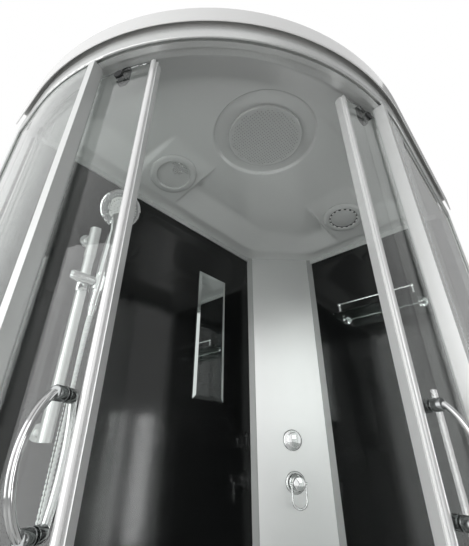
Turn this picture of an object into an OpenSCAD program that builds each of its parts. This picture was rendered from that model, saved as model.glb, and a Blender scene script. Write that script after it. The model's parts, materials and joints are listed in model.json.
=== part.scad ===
// Corner shower cabin with an offset rounded front, two sliding doors and a moulded roof.
// Millimetres. +Z is up and the origin is on the floor, under the middle of the cabin.
// The long wall side is at -X, the short back wall side at +Y, and the glass faces +X and -Y.
// A distance called "in" is counted inwards from the outer edge of the tray.
// Angles round the front are counted from -Y towards +X. The doors are drawn open.

/* [Cabin] */
// Width of the cabin, along the short back wall
cabin_w = 800; // [790:5:820]
// Length of the cabin, along the long side wall
cabin_l = 1200; // [1180:5:1240]
// Height of the top of the wall panels and rails
wall_top = 2060; // [2040:5:2120]
// Radius of the rounded front at the tray's edge
front_r = 660; // [655:1:670]
// Sum of the two wall distances to the corner column's face
column_s = 244; // [240:1:256]

/* [Tray] */
// Height of the tray's rim above the floor
tray_h = 150; // [145:1:170]
// Thickness of the tray's shell
tray_t = 5; // [4:0.5:6]
// Depth of the bowl below the rim
bowl_depth = 62; // [50:1:66]
// Height of the rim's downturned edge
rim_skirt = 40; // [30:1:50]
// Diameter of the waste hole
waste_d = 90; // [80:1:95]
// Radius of the waste outlet
outlet_r = 20; // [16:0.5:20]

/* [Rails and glass] */
// Height of the top and bottom rails
rail_h = 38; // [36:1:44]
// Distance in of the rails' outer face
rail_in = 10; // [8:0.5:11]
// Width of the rails' box
rail_w = 22; // [20:0.5:23]
// Thickness of the glass
glass_t = 5; // [4:0.5:6]
// Distance in of the middle of the doors' track
track_in = 47; // [46:0.5:48]
// Width of a post along the glass
post_w = 16; // [14:0.5:20]
// Thickness of a wall panel
panel_t = 5; // [4:0.5:6]

/* [Doors] */
// Angle round the front where the closed doors meet
meet_a = 51.2; // [51:0.1:51.4]
// Angle that one door spans
door_a = 40; // [39.5:0.1:40.5]
// Angle from a door's leading edge to its first roller
lead_a = 8.5; // [8:0.1:9]
// Angle from a door's last roller to its tail edge
tail_a = 4.5; // [4:0.1:5]
// Angle that the left door's first roller travels
left_travel = 19.6; // [18:0.1:20]
// Angle that the right door's first roller travels
right_travel = 20.4; // [18:0.1:20.8]
// Angle of the left post's edge at the opening
left_post_a = 19.4; // [17:0.1:20]
// Angle of the right post's edge at the opening
right_post_a = 81.4; // [81:0.1:83]
// Radius of a door roller
roller_r = 11; // [9:0.5:12]
// Width of a roller's tread
roller_w = 7; // [5:0.5:8]
// Width of a door's leading profile along the glass
edge_w = 14; // [12:0.5:18]
// Spacing of a door handle's two studs
handle_pitch = 134; // [110:1:150]
// Diameter of a door handle's bow
bow_d = 10; // [9:0.5:15]
// Height of the middle of the door handles
handle_z = 1273; // [1100:1:1400]

/* [Roof] */
// Height of the roof's front band
band_h = 56; // [50:1:70]
// Height of the ceiling above the flange
ceiling_rise = 40; // [36:1:46]
// Thickness of the roof's moulded sheet
roof_t = 4; // [3:0.5:5]
// Width of the ceiling's slope
slope_w = 82; // [70:1:90]
// Diameter of the overhead shower's recess
recess_d = 310; // [290:1:320]
// Diameter of the overhead shower plate
rain_d = 216; // [180:1:240]
// Outer diameter of the fan's and the lamp's bezels
bezel_d = 150; // [140:1:158]
// Diameter of the fan's grille and of the lamp's lens
insert_d = 104; // [96:1:112]

/* [Water] */
// Diameter of the slide bar
bar_d = 25; // [22:0.5:26]
// Drop from the top of the walls to the slide bar
bar_drop = 241; // [200:1:320]
// Length of the slide bar
bar_len = 521; // [500:1:560]
// Height of the mixer's axis
mixer_z = 1200; // [1150:1:1210]
// Height of the diverter's axis
diverter_z = 1326; // [1310:1:1400]
// Diameter of the hand shower's head
head_d = 110; // [90:1:120]
// Outer diameter of the hose
hose_d = 14; // [13:0.5:15]

/* [Fittings] */
// Width of the mirror
mirror_w = 139; // [100:1:180]
// Height of the mirror
mirror_h = 448; // [300:1:500]
// Width of the shelf
shelf_w = 322; // [280:1:350]
// Depth of the shelf
shelf_d = 98; // [80:1:120]

/* [Hidden] */
$fn = 96;
eps = 0.01;
// Clearances: between loose pieces, round a turning fit, and beside glass or a panel in its slot
gap = 0.3;
run = 0.05;
play = 0.5;
wx = -cabin_w / 2;
wy = cabin_l / 2;
fx = cabin_w / 2;
fy = -cabin_l / 2;
ac = [fx - front_r, fy + front_r];

// Heights
rail0_z = tray_h;
rail1_z = wall_top - rail_h;
floor_z = tray_h - bowl_depth;
under_z = floor_z - tray_t;
flange_z = wall_top;
ceiling_z = flange_z + ceiling_rise;

// Wall panels, the profiles that hold them and the posts at their ends
panel_in = 18;
panel_x = wx + panel_in;
panel_y = wy - panel_in;
profile_d = 24;
profile_h = 20;
foot_h = 15;
seat = 8;
post_size = 30;

// Corner column, drawn as a front view: X to the right, Y into the wall
column_mid = [wx + column_s / 2, wy - column_s / 2];
column_half = (column_s - 2 * panel_in) / sqrt(2);
trim_w = 22;
trim_proud = 1.5;
column_t = 4;

// Rail section
rail_t = 2;
channel_d = 12;
channel_w = glass_t + 2 * play;
fixed_in = rail_in + 7.5;
ledge_z = 6;
track_edge = track_in + 4;
guide_edge = track_in + 9;
guide_lip = 12;

// Doors
track_r = front_r - track_in;
half_glass = glass_t / 2;
glass_z0 = rail0_z + rail_h + 8;
glass_z1 = rail1_z - 12;
edge_out = 7.5;
edge_inward = 16.5;
curve_play = 0.2;
axle_r = 3;
axle_z = rail1_z + ledge_z + rail_t + roller_r + gap;
hanger_in = track_edge + 9;
hanger_t = 8;
hanger_w = 28;
hanger_z0 = glass_z1 - 26;
clamp_z = glass_z1 - 13;
stud_r = 5;
cap_r = 10;
finger_r = 4;
handle_a = 3.7;
handle_r = 9;
bow_out = 45;
bow_in = 23;
bow_start = 15;

// Waste
waste_x = wx + 250;
waste_y = wy - 270;
waste_z = 36;
spigot_x = wx + 40;
spigot_len = 50;
cover_d = waste_d + 22;

// Roof. A foot of the ceiling's slope lies this far from the glass edge, a wall and the column.
cove_glass = 70;
cove_wall = panel_in + 57;
cove_column = 63;
band_t = 3;
band_w = 16;
recess_h = 8;
rain_x = ac.x + 329;
rain_y = ac.y - 148;
pad_w = 170;
fan_at = [wx + 166, fy + 418];
fan_len = 197;
lamp_at = [fx - 324, wy - 198];
lamp_len = 255;
fan_tilt = atan(ceiling_rise / fan_len);
lamp_tilt = atan(ceiling_rise / lamp_len);
fan_z = flange_z + (fan_at.x - (wx + cove_wall)) * tan(fan_tilt);
lamp_z = flange_z + (wy - cove_wall - lamp_at.y) * tan(lamp_tilt);

// Slide bar and hand shower
bar_z = wall_top - bar_drop - bar_len;
bar_x = wx + 65;
bar_y = fy + 257;
sleeve_r = bar_d / 2 + 2;
sleeve_l = 90;
slider_z = bar_z + bar_len - 169;
collar_h = 46;
barrel_r = 13;
socket_x = wx + 100;
socket_y = fy + 282;
grip_r = 12.3;
cradle_r = 17;
cradle_h = 40;
shower_lean = 3;
face_turn = 14;
head_angle = 120;
head_in = 10.5;
neck_len = 236;
tail_len = 62;
nut_len = 26;

// Wall outlet for the hose
outlet_x = panel_x + 30;
outlet_y = fy + 416;
outlet_z = 1010;
nozzle_z = outlet_z - 18;

// Pipes in the corner and behind the wall panel
pipe_r = 8;
wall_pipe_r = 5;
wall_pipe_x = wx + 7;
riser_y = 88;
inlet_r = 10.48;
inlet_x = 16;
inlet_len = 16;

// The free route of the hose, from the hand shower down, round a turn and up to the wall outlet
hose_top = [socket_x, socket_y - (tail_len + nut_len) * sin(shower_lean),
            slider_z - (tail_len + nut_len) * cos(shower_lean) - 2 * gap];
turn_z = outlet_z - 398;
// Each point of the hanging part: its drift from the top in X and Y, and its share of the height
hose_hang = [
  [0, 0, 1], [0, -0.9, 0.982], [-2, -2.2, 0.935], [-6, -1.5, 0.85], [-12, 5, 0.672],
  [-18, 15, 0.461], [-22, 23, 0.251], [-24, 26, 0.114], [-25, 26.6, 0]
];
turn_from = [hose_top.x - 25, hose_top.y + 26.6];
turn_r = norm([outlet_x, outlet_y] - turn_from) / 2;
hose_route = [
  for (p = hose_hang) [hose_top.x + p.x, hose_top.y + p.y, turn_z + p.z * (hose_top.z - turn_z)],
  for (a = [30 : 30 : 180]) let (q = turn_from + ([outlet_x, outlet_y] - turn_from) * (1 - cos(a)) / 2)
    [q.x, q.y, turn_z - turn_r * sin(a)],
  for (up = [88, 188, 288, 338, 354]) [outlet_x, outlet_y, turn_z + up]
];
hose_ribs = 150;
hose_sides = 8;
hose_bore = 8;
rib_depth = 1.2;

// HELPERS

// Angle that a length along the glass takes at the track
function arc_a(length) = length / track_r * 180 / PI;

// Plan of the cabin, drawn in by in_g at the glass and in_w at the walls
module plan(in_g = 0, in_w = 0) {
  intersection() {
    translate([wx + in_w, fy + in_g])
      square([cabin_w - in_w - in_g, cabin_l - in_w - in_g]);
    union() {
      translate(ac) circle(r = front_r - in_g);
      translate([wx, fy]) square([ac.x - wx, cabin_l]);
      translate([wx, ac.y]) square([cabin_w, wy - ac.y]);
    }
  }
}

// The corner behind the column's face, moved out into the cabin by g
module corner_cut(g = 0) {
  s = column_s + g * sqrt(2);
  polygon([[wx - 1, wy + 1], [wx - 1, wy - s - 1], [wx + s + 1, wy + 1]]);
}

// Sweeps a section round the front from angle a0 to a1. X of the section is the distance in.
module round_front(a0, a1) {
  translate([ac.x, ac.y, 0])
    rotate(a0 - 90)
      rotate_extrude(angle = a1 - a0)
        translate([front_r, 0]) mirror([1, 0]) children();
}

// Sweeps a section along the short straight of the front, out to x0
module short_front(x0) {
  translate([ac.x, fy, 0]) rotate([90, 0, -90])
    linear_extrude(ac.x - x0) mirror([1, 0]) children();
}

// Sweeps a section along the long straight side, out to y1
module long_side(y1) {
  translate([fx, ac.y, 0]) rotate([90, 0, 180])
    linear_extrude(y1 - ac.y) children();
}

// Sweeps a section along the whole glass front
module along_glass(x0, y1) {
  short_front(x0) children();
  round_front(0, 90) children();
  long_side(y1) children();
}

// Frame on the round front at angle a: +X out of the cabin, +Y round the front, origin at distance in
module at_front(a, in, z) {
  translate([ac.x, ac.y, z]) rotate(a - 90) translate([front_r - in, 0, 0]) children();
}

// A rectangle from [x0, y0] to [x1, y1]
module rect(x0, y0, x1, y1) {
  translate([x0, y0]) square([x1 - x0, y1 - y0]);
}

// A box between two corners
module box(a, b) {
  translate(a) cube(b - a);
}

// A long hole with round ends
module slot2d(w, l) {
  translate([0, -(l - w) / 2]) circle(d = w);
  translate([0, (l - w) / 2]) circle(d = w);
  square([w, l - w], center = true);
}

// Puts a piece on the column: X to the right, +Z out into the cabin, Y up
module on_column(x, z) {
  translate([column_mid.x, column_mid.y, z]) rotate([90, 0, 45]) translate([x, 0, 0]) children();
}

// DOOR MOVEMENT
// Both rollers of a door stand on the track when it is closed and when it is open.
// One turn about a pole takes the door from one place to the other.

// Point on the middle of the track at an angle of the round front
function on_track(a) = ac + track_r * [sin(a), -cos(a)];

function heading(v) = atan2(v.y, v.x);

// Roller places of a closed door. The side s is 1 for the right door and -1 for the left.
function closed_lead(s) = on_track(meet_a + s * lead_a);
function closed_tail(s) = on_track(meet_a + s * (door_a - tail_a));
function roller_span(s) = norm(closed_tail(s) - closed_lead(s));

// Roller places of an open door. The tail roller is past the curve, on a straight of the track.
function open_lead(s) = on_track(meet_a + s * (lead_a + (s > 0 ? right_travel : left_travel)));
function on_long_side(p, span) = [fx - track_in, p.y + sqrt(span * span - pow(fx - track_in - p.x, 2))];
function on_short_front(p, span) = [p.x - sqrt(span * span - pow(fy + track_in - p.y, 2)), fy + track_in];
function open_tail(s) =
  s > 0 ? on_long_side(open_lead(s), roller_span(s)) : on_short_front(open_lead(s), roller_span(s));

// Turn from closed to open, and the pole it is made about
function door_turn(s) =
  heading(open_tail(s) - open_lead(s)) - heading(closed_tail(s) - closed_lead(s));
function door_pole(s) =
  let (mid = (open_lead(s) + closed_lead(s)) / 2, move = open_lead(s) - closed_lead(s),
       k = 1 / (2 * tan(door_turn(s) / 2)))
  mid + k * [-move.y, move.x];

// Draws a closed door's piece where the open door holds it
module opened(s) {
  pole = door_pole(s);
  translate([pole.x, pole.y, 0]) rotate(door_turn(s)) translate([-pole.x, -pole.y, 0]) children();
}

// Angle on the closed door at a distance, in degrees, from its leading edge
function door_at(s, a) = meet_a + s * a;

// Sweeps a section along a part of the closed door
module door_sweep(s, from, to) {
  round_front(min(door_at(s, from), door_at(s, to)), max(door_at(s, from), door_at(s, to))) children();
}

// TRAY

// Outline of the bowl, drawn in by i from its rim
module bowl_outline(i = 0) {
  offset(r = 45) offset(delta = -45)
    difference() {
      plan(guide_edge + 14 + i, panel_in + 32 + i);
      corner_cut(26 + i);
    }
}

module tray() {
  slope = 14;
  color("white") difference() {
    union() {
      translate([0, 0, tray_h - rim_skirt]) linear_extrude(rim_skirt) plan();
      hull() {
        translate([0, 0, tray_h - tray_t]) linear_extrude(1) bowl_outline(-tray_t);
        translate([0, 0, under_z]) linear_extrude(1) bowl_outline(slope - tray_t);
      }
    }
    hull() {
      translate([0, 0, tray_h]) linear_extrude(1) bowl_outline();
      translate([0, 0, floor_z]) linear_extrude(1) bowl_outline(slope);
    }
    translate([0, 0, tray_h - rim_skirt - 1]) linear_extrude(rim_skirt + 1 - tray_t) difference() {
      plan(tray_t, tray_t);
      bowl_outline(-tray_t);
    }
    translate([waste_x, waste_y, under_z - 1]) cylinder(d = waste_d, h = tray_h);
  }
}

module tray_apron() {
  color("white")
    along_glass(wx + tray_t + gap, wy - tray_t - gap) {
      rect(tray_t + gap, 12, tray_t + gap + 4, tray_h - tray_t - gap);
    }
}

// Steel frame under the bowl, its long tubes and its cross tubes
tube = 25;
tube_x = [wx + 108, fx - 180];
tube_y = [fy + 110, fy + 400];
tube_end = wy - 95;
cross_y = [tube_y[1] + 20, wy - 140];

// Middles of the feet: two under each long tube and one under the middle of the round front
feet = [
  [tube_x[0], tube_y[0] + 40], [tube_x[0], tube_end - 40],
  [tube_x[1], tube_y[1] + 60], [tube_x[1], tube_end - 40],
  [(tube_x[0] + tube_x[1]) / 2 + 10, tube_y[0] + 70]
];

module tray_frame() {
  z0 = under_z - tube;
  color("dimgray") {
    for (i = [0, 1])
      box([tube_x[i] - tube / 2, tube_y[i], z0], [tube_x[i] + tube / 2, tube_end, under_z]);
    for (y = cross_y)
      box([tube_x[0] + tube / 2, y, z0], [tube_x[1] - tube / 2, y + tube, under_z]);
    box([feet[4].x - tube / 2, feet[4].y - 30, z0], [feet[4].x + tube / 2, cross_y[0], under_z]);
  }
}

module tray_feet() {
  rod_d = 12;
  color("gainsboro") for (p = feet) translate([p.x, p.y, 0]) {
    cylinder(d = 48, h = 5);
    translate([0, 0, 5]) cylinder(d1 = 44, d2 = 26, h = 8);
    translate([0, 0, 13]) cylinder(d = rod_d, h = under_z - tube - 13);
    translate([0, 0, under_z - tube - 10]) cylinder(d = 22, h = 10, $fn = 6);
  }
}

module drain_trap() {
  body_d = waste_d + 14;
  color("whitesmoke") translate([waste_x, waste_y, 0]) difference() {
    union() {
      translate([0, 0, 12]) cylinder(d = body_d, h = under_z - 12);
      cylinder_from_to(waste_d / 2 - gap, under_z, floor_z);
      cylinder_from_to(cover_d / 2 + 1, floor_z, floor_z + 2);
      // outlet: a thicker neck and the spigot that a waste pipe takes
      translate([0, 0, waste_z]) rotate([0, -90, 0]) {
        cylinder(r = outlet_r + 1.5, h = waste_x - spigot_x - spigot_len);
        cylinder(r = outlet_r, h = waste_x - spigot_x);
      }
    }
    cylinder_from_to(waste_d / 2 - 5, 16, tray_h);
    translate([0, 0, waste_z]) rotate([0, -90, 0]) cylinder(r = outlet_r - 2.5, h = cabin_w);
  }
}

// An upright cylinder between two heights
module cylinder_from_to(r, z0, z1) {
  translate([0, 0, z0]) cylinder(r = r, h = z1 - z0);
}

// Revolved disc with a shallow domed top: edge height e, height h in the middle
module domed_disc(r, e, h) {
  steps = 8;
  rotate_extrude() polygon(concat([[0, 0], [r, 0]],
    [for (i = [steps : -1 : 0]) [r * i / steps, e + (h - e) * (1 - pow(i / steps, 2))]]));
}

module drain_cover() {
  skirt_r = waste_d / 2 - 7;
  color("silver") translate([waste_x, waste_y, floor_z + 2 + gap]) {
    domed_disc(cover_d / 2, 2.5, 7);
    translate([0, 0, -20]) difference() {
      cylinder(r = skirt_r, h = 20.5);
      translate([0, 0, -1]) cylinder(r = skirt_r - 3, h = 20);
      for (i = [0 : 7])
        rotate(i * 45) translate([0, -4, 5]) cube([waste_d, 8, 9]);
    }
  }
}

// RAILS, POSTS AND GLASS

// Section of a rail with its glass channel at the bottom
module rail_box() {
  r = 3;
  inner = rail_in + rail_w;
  difference() {
    union() {
      rect(rail_in + r, 0, inner, rail_h);
      rect(rail_in, r, inner, rail_h - r);
      translate([rail_in + r, r]) circle(r = r);
      translate([rail_in + r, rail_h - r]) circle(r = r);
    }
    rect(fixed_in - channel_w / 2, -1, fixed_in + channel_w / 2, channel_d);
    rect(rail_in + rail_t, channel_d + rail_t, inner - rail_t, rail_h - rail_t);
  }
}

// Section of the ledge on a rail, out to a distance in, with a lip along its edge
module rail_ledge(edge, lip) {
  rect(rail_in + rail_w - eps, ledge_z, edge, ledge_z + rail_t);
  rect(edge - rail_t, ledge_z, edge, ledge_z + rail_t + lip);
}

module top_rail() {
  color("silver") translate([0, 0, rail1_z])
    along_glass(wx + post_size, wy - post_size) {
      union() {
        rail_box();
        rail_ledge(track_edge, 0);
      }
    }
}

module bottom_rail() {
  color("silver") translate([0, 0, rail0_z])
    along_glass(wx + post_size, wy - post_size) {
      union() {
        translate([0, rail_h]) mirror([0, 1]) rail_box();
        rail_ledge(guide_edge, guide_lip);
      }
    }
}

// Upright extrusion at the front end of the long wall
module wall_post() {
  y0 = fy + rail_in;
  difference() {
    box([wx, y0, tray_h], [wx + post_size, y0 + post_size + 2, wall_top]);
    // slot for the glass
    box([wx + post_size - 14, fy + fixed_in - channel_w / 2, tray_h - 1],
        [wx + post_size + 1, fy + fixed_in + channel_w / 2, wall_top + 1]);
    // slot for the wall panel
    box([panel_x - panel_t - play, y0 + post_size - 8, tray_h - 1],
        [panel_x + play, y0 + post_size + 3, wall_top + 1]);
    // chamber
    box([wx + rail_t, y0 + rail_t, tray_h - 1], [wx + 14, y0 + post_size - 11, wall_top + 1]);
  }
}

module wall_posts() {
  color("silver") {
    wall_post();
    // the same extrusion at the far end of the back wall
    translate([wx, wy]) mirror([1, 1, 0]) translate([-wx, -wy])
      translate([0, cabin_l - cabin_w, 0]) wall_post();
  }
}

post_a = arc_a(post_w);
post_in = track_in - 11;
post_slot_a = arc_a(9);
post_hold_a = arc_a(8);
post_z0 = rail0_z + rail_h;

// Post that ends the fixed glass. Its opening edge is at angle a and its glass on the side s of that.
module door_post(a, s) {
  a0 = s > 0 ? a : a - post_a;
  a1 = a0 + post_a;
  wall_a = arc_a(2);
  translate([0, 0, post_z0]) difference() {
    round_front(a0, a1) rect(rail_in + 1, 0, post_in, rail1_z - post_z0);
    round_front(s > 0 ? a1 - post_slot_a : a0 - 1, s > 0 ? a1 + 1 : a0 + post_slot_a)
      rect(fixed_in - channel_w / 2, -1, fixed_in + channel_w / 2, wall_top);
    round_front(a0 + wall_a, a1 - wall_a)
      rect(fixed_in + channel_w / 2 + 1.5, -1, post_in - 1.5, wall_top);
  }
}

module door_posts() {
  color("silver") {
    door_post(left_post_a, -1);
    door_post(right_post_a, 1);
  }
}

module post_seals() {
  seal_a = arc_a(5);
  color("lightgray") for (a = [left_post_a - seal_a, right_post_a])
    translate([0, 0, post_z0])
      round_front(a, a + seal_a) rect(post_in, 0, post_in + 2, rail1_z - post_z0);
}

// Distance of a pane's end from the wall
pane_in = post_size - 13;
far = 2 * cabin_l;

// Point far out from the centre of the round front, at angle a
function far_out(a) = ac + far * [sin(a), -cos(a)];

// The part of the glass line that lies inside a wedge of the plan
module fixed_pane(wedge) {
  z0 = rail0_z + rail_h - channel_d + play;
  color("lightcyan", 0.35) translate([0, 0, z0])
    linear_extrude(rail1_z + channel_d - play - z0) intersection() {
      difference() {
        plan(fixed_in - half_glass, pane_in);
        plan(fixed_in + half_glass, pane_in - 1);
      }
      polygon(wedge);
    }
}

module fixed_glass_left() {
  fixed_pane([ac, far_out(left_post_a - post_a + post_hold_a), ac - [far, far], ac - [far, 0]]);
}

module fixed_glass_right() {
  fixed_pane([ac, far_out(right_post_a + post_a - post_hold_a), ac + [far, far], ac + [0, far]]);
}

// WALLS AND COLUMN

panel_z0 = tray_h + foot_h - seat;
panel_z1 = wall_top - profile_h + seat;
panel_past = 8;

module wall_panel_left() {
  color([0.05, 0.05, 0.05]) difference() {
    box([panel_x - panel_t, fy + rail_in + post_size - 7, panel_z0],
        [panel_x, wy - column_s + panel_in + panel_past, panel_z1]);
    translate([panel_x - panel_t - 1, outlet_y, outlet_z]) rotate([0, 90, 0])
      cylinder(r = wall_pipe_r + play, h = panel_t + 2);
  }
}

module wall_panel_back() {
  color([0.05, 0.05, 0.05])
    box([wx + column_s - panel_in - panel_past, panel_y, panel_z0],
        [fx - rail_in - post_size + 7, panel_y + panel_t, panel_z1]);
}

// Section of the profile on a wall: X out of the wall, the panel's slot at the bottom
module panel_profile(h) {
  difference() {
    rect(0, 0, profile_d, h);
    rect(panel_in - panel_t - play, -1, panel_in + play, seat + play);
    if (h > foot_h) rect(rail_t, seat + play + rail_t, profile_d - rail_t, h - rail_t);
  }
}

// Sweeps a wall profile from the post to the column
module along_wall(h) {
  y0 = fy + rail_in + post_size + 2 + gap;
  translate([wx, wy, 0]) rotate([90, 0, 0])
    linear_extrude(wy - y0) panel_profile(h);
}

module panel_rails() {
  long_end = cabin_l - cabin_w;
  color("silver") difference() {
    union() {
      translate([0, 0, wall_top - profile_h]) along_wall(profile_h);
      translate([0, 0, tray_h + foot_h]) mirror([0, 0, 1]) along_wall(foot_h);
      translate([wx, wy]) mirror([1, 1, 0]) translate([-wx, -wy]) difference() {
        union() {
          translate([0, 0, wall_top - profile_h]) along_wall(profile_h);
          translate([0, 0, tray_h + foot_h]) mirror([0, 0, 1]) along_wall(foot_h);
        }
        box([wx - 1, fy, 0], [wx + post_size, fy + long_end + rail_in + post_size + 2 + gap, wall_top + 1]);
      }
    }
    translate([0, 0, tray_h - 1]) linear_extrude(wall_top) corner_cut(trim_proud + gap);
  }
}

column_face = column_half - trim_w - gap;
shell_back = 22;

module column_panel() {
  color([0.8, 0.8, 0.8]) difference() {
    translate([column_mid.x, column_mid.y, tray_h]) rotate(45) linear_extrude(wall_top - tray_h) {
      rect(-column_face, 0, column_face, column_t);
      for (s = [-1, 1]) rect(s * column_face - (s > 0 ? column_t : 0), 0,
                             s * column_face + (s > 0 ? 0 : column_t), shell_back);
    }
    on_column(0, mixer_z) translate([0, 0, -column_t - 1]) cylinder(r = cartridge_r + gap, h = 10);
    on_column(0, diverter_z) translate([0, 0, -column_t - 1]) cylinder(r = spindle_r + 4, h = 10);
  }
}

// Strip beside the column's shell, slotted for the end of a wall panel
module column_trim() {
  h = column_half;
  difference() {
    polygon([
      [h - trim_w, -trim_proud + 1], [h - trim_w + 1, -trim_proud], [h + trim_proud, -trim_proud],
      [h + 3, 3], [h + 5, 14], [h - trim_w + 4, 14], [h - trim_w, 10]
    ]);
    translate([h, 0]) rotate(-45)
      rect(-panel_past - play, -gap, 40, panel_t + gap);
  }
}

module column_trims() {
  color("silver") difference() {
    translate([column_mid.x, column_mid.y, tray_h]) rotate(45)
      linear_extrude(wall_top - tray_h) {
        column_trim();
        mirror([1, 0]) column_trim();
      }
    // passage of the hose outlet's supply
    translate([wall_pipe_x, column_mid.y, outlet_z]) rotate([90, 0, 0])
      cylinder(r = wall_pipe_r + play, h = column_half);
  }
}

// ROOF

// Outline of the foot of the ceiling's slope, drawn in by i
module cove_outline(i = 0) {
  column_r = 180 - i;
  corner_r = 60;
  intersection() {
    offset(r = column_r) offset(delta = -column_r) difference() {
      rect(wx + cove_wall + i, fy - cabin_l, fx + cabin_l, wy - cove_wall - i);
      corner_cut(cove_column + i);
    }
    offset(r = corner_r) offset(delta = -corner_r) plan(cove_glass + i, cove_wall + i);
  }
}

// Body of air under the ceiling, with the flat pads of the fan and the lamp left out
module ceiling_space() {
  difference() {
    union() {
      hull() {
        translate([0, 0, flange_z - 1]) linear_extrude(1) cove_outline();
        translate([0, 0, ceiling_z - eps]) linear_extrude(eps) cove_outline(slope_w);
      }
      translate([rain_x, rain_y, ceiling_z - 1])
        cylinder(d1 = recess_d, d2 = recess_d - 16, h = recess_h + 1);
    }
    // fan pad, sloping up from the long wall
    translate([0, fan_at.y + pad_w / 2, 0]) rotate([90, 0, 0]) linear_extrude(pad_w)
      pad_profile(wx + cove_wall, 1, fan_len);
    // lamp pad, sloping up from the back wall
    translate([lamp_at.x - pad_w / 2, 0, 0]) rotate([90, 0, 90]) linear_extrude(pad_w)
      pad_profile(wy - cove_wall, -1, lamp_len);
  }
}

// Side view of a pad that rises from its foot at x0 to the ceiling over a length
module pad_profile(x0, s, length) {
  polygon([
    [x0 - s * length * 2 / ceiling_rise, flange_z - 2], [x0 + s * length, ceiling_z],
    [x0 + s * length, ceiling_z + 60], [x0 - s * 30, ceiling_z + 60], [x0 - s * 30, flange_z - 2]
  ]);
}

// Puts a round fitting on the underside of its pad, +Z pointing down into the cabin
module on_fan_pad() {
  translate([fan_at.x, fan_at.y, fan_z]) rotate([0, 180 - fan_tilt, 0]) children();
}

module on_lamp_pad() {
  translate([lamp_at.x, lamp_at.y, lamp_z]) rotate([180 - lamp_tilt, 0, 0]) children();
}

module roof_shell() {
  hole_r = insert_d / 2 + 6;
  color("white") difference() {
    union() {
      translate([0, 0, flange_z]) linear_extrude(roof_t) plan(rail_in + band_w / 2 + gap, 2);
      translate([0, 0, roof_t]) ceiling_space();
      // upstands along the walls
      box([wx + 2, fy + post_size, flange_z], [wx + 6, wy - 2, flange_z + band_h]);
      box([wx + 2, wy - 6, flange_z], [fx - post_size, wy - 2, flange_z + band_h]);
    }
    ceiling_space();
    translate([rain_x, rain_y, ceiling_z - 1]) cylinder(r = pipe_r + gap, h = 40);
    on_fan_pad() translate([0, 0, -40]) cylinder(r = hole_r, h = 60);
    on_lamp_pad() translate([0, 0, -40]) cylinder(r = hole_r, h = 60);
    on_column(0, flange_z - 1) translate([0, 0, -riser_y]) rotate([-90, 0, 0]) cylinder(r = pipe_r + gap, h = 20);
  }
}

// Section of the band: an outer skin, a rounded top and a leg that stands on the rail
module band_section() {
  r = 8;
  z1 = flange_z + 4 + band_h;
  leg = rail_in + band_w / 2;
  difference() {
    union() {
      rect(0, flange_z + 4, leg, z1 - r);
      rect(r, flange_z + 4, leg, z1);
      translate([r, z1 - r]) circle(r = r);
    }
    rect(band_t, 0, leg - band_t, z1 - r);
  }
  rect(leg - band_t, flange_z, leg, flange_z + 5);
}

module roof_band() {
  color("white") along_glass(wx + 2, wy - 2) band_section();
}

module rain_plate() {
  plate_t = 9;
  z0 = ceiling_z + recess_h - plate_t - 6;
  color("gainsboro") translate([rain_x, rain_y, 0]) {
    difference() {
      cylinder_from_to(rain_d / 2, z0, z0 + plate_t);
      for (ring = [1 : 4])
        for (i = [0 : ring * 6 - 1])
          rotate(i * 60 / ring) translate([ring * rain_d / 10.5, 0, z0 - 1]) cylinder(r = 1.6, h = 4);
    }
    cylinder_from_to(22, z0 + plate_t, ceiling_z + recess_h - eps);
    cylinder_from_to(pipe_r, z0 + plate_t, ceiling_z + recess_h + 30);
  }
}

// Ring of a bezel under its pad: a lens-shaped section round the opening
module bezel_ring() {
  r1 = bezel_d / 2;
  r0 = insert_d / 2 + gap;
  rotate_extrude() polygon([
    [r0, 0], [r1, 0], [r1, 2.5], [r1 - 2, 5], [r1 - 7, 7.5], [r1 - 12, 8.5],
    [r0 + 3, 8.5], [r0, 6]
  ]);
}

module fan_bezel() {
  color("silver") on_fan_pad() translate([0, 0, run]) bezel_ring();
}

module fan_grille() {
  r = insert_d / 2;
  pitch = 7.4;
  rows = 8;
  // holes in the quarter that faces the middle of the cabin
  color("gray") on_fan_pad() difference() {
    cylinder(r = r, h = 3);
    for (row = [-rows : rows], col = [0 : rows]) {
      at = [(col + 1) * pitch * sin(60), (row + (col % 2) / 2) * pitch];
      if (norm(at) < r - 4 && abs(at.y) < at.x)
        translate([at.x, at.y, -1]) cylinder(r = 2, h = 5);
    }
  }
}

fan_depth = 36;
shaft_r = 3;

module fan_housing() {
  r = insert_d / 2 + 4;
  color("whitesmoke") on_fan_pad() difference() {
    union() {
      translate([0, 0, -fan_depth]) cylinder(r = r, h = fan_depth - gap);
      translate([0, 0, -roof_t / cos(fan_tilt) - 3]) cylinder(r = r + 8, h = 3 - gap);
    }
    translate([0, 0, -fan_depth + 3]) cylinder(r = r - 3, h = fan_depth);
    for (i = [0 : 7]) rotate(i * 45) translate([r * 0.58, 0, -fan_depth - 1]) cylinder(r = 9, h = 6);
  }
  // motor on the back of the housing
  color("dimgray") on_fan_pad() {
    translate([0, 0, -fan_depth + 3 - eps]) cylinder(r = 15, h = 7);
    translate([0, 0, -fan_depth + 9]) cylinder(r = shaft_r, h = 18);
  }
}

module fan_rotor() {
  hub_r = 14;
  blades = 7;
  tip_r = insert_d / 2 - 4;
  color("silver") on_fan_pad() translate([0, 0, -fan_depth + 11]) difference() {
    union() {
      cylinder(r = hub_r, h = 15);
      for (i = [0 : blades - 1]) rotate(i * 360 / blades)
        translate([hub_r - 2, 0, 7.5]) rotate([32, 0, 0]) translate([0, -8, -1])
          cube([tip_r - hub_r, 16, 2]);
    }
    translate([0, 0, -1]) cylinder(r = shaft_r + run, h = 20);
  }
}

module lamp_bezel() {
  color("silver") on_lamp_pad() translate([0, 0, run]) bezel_ring();
}

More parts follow.
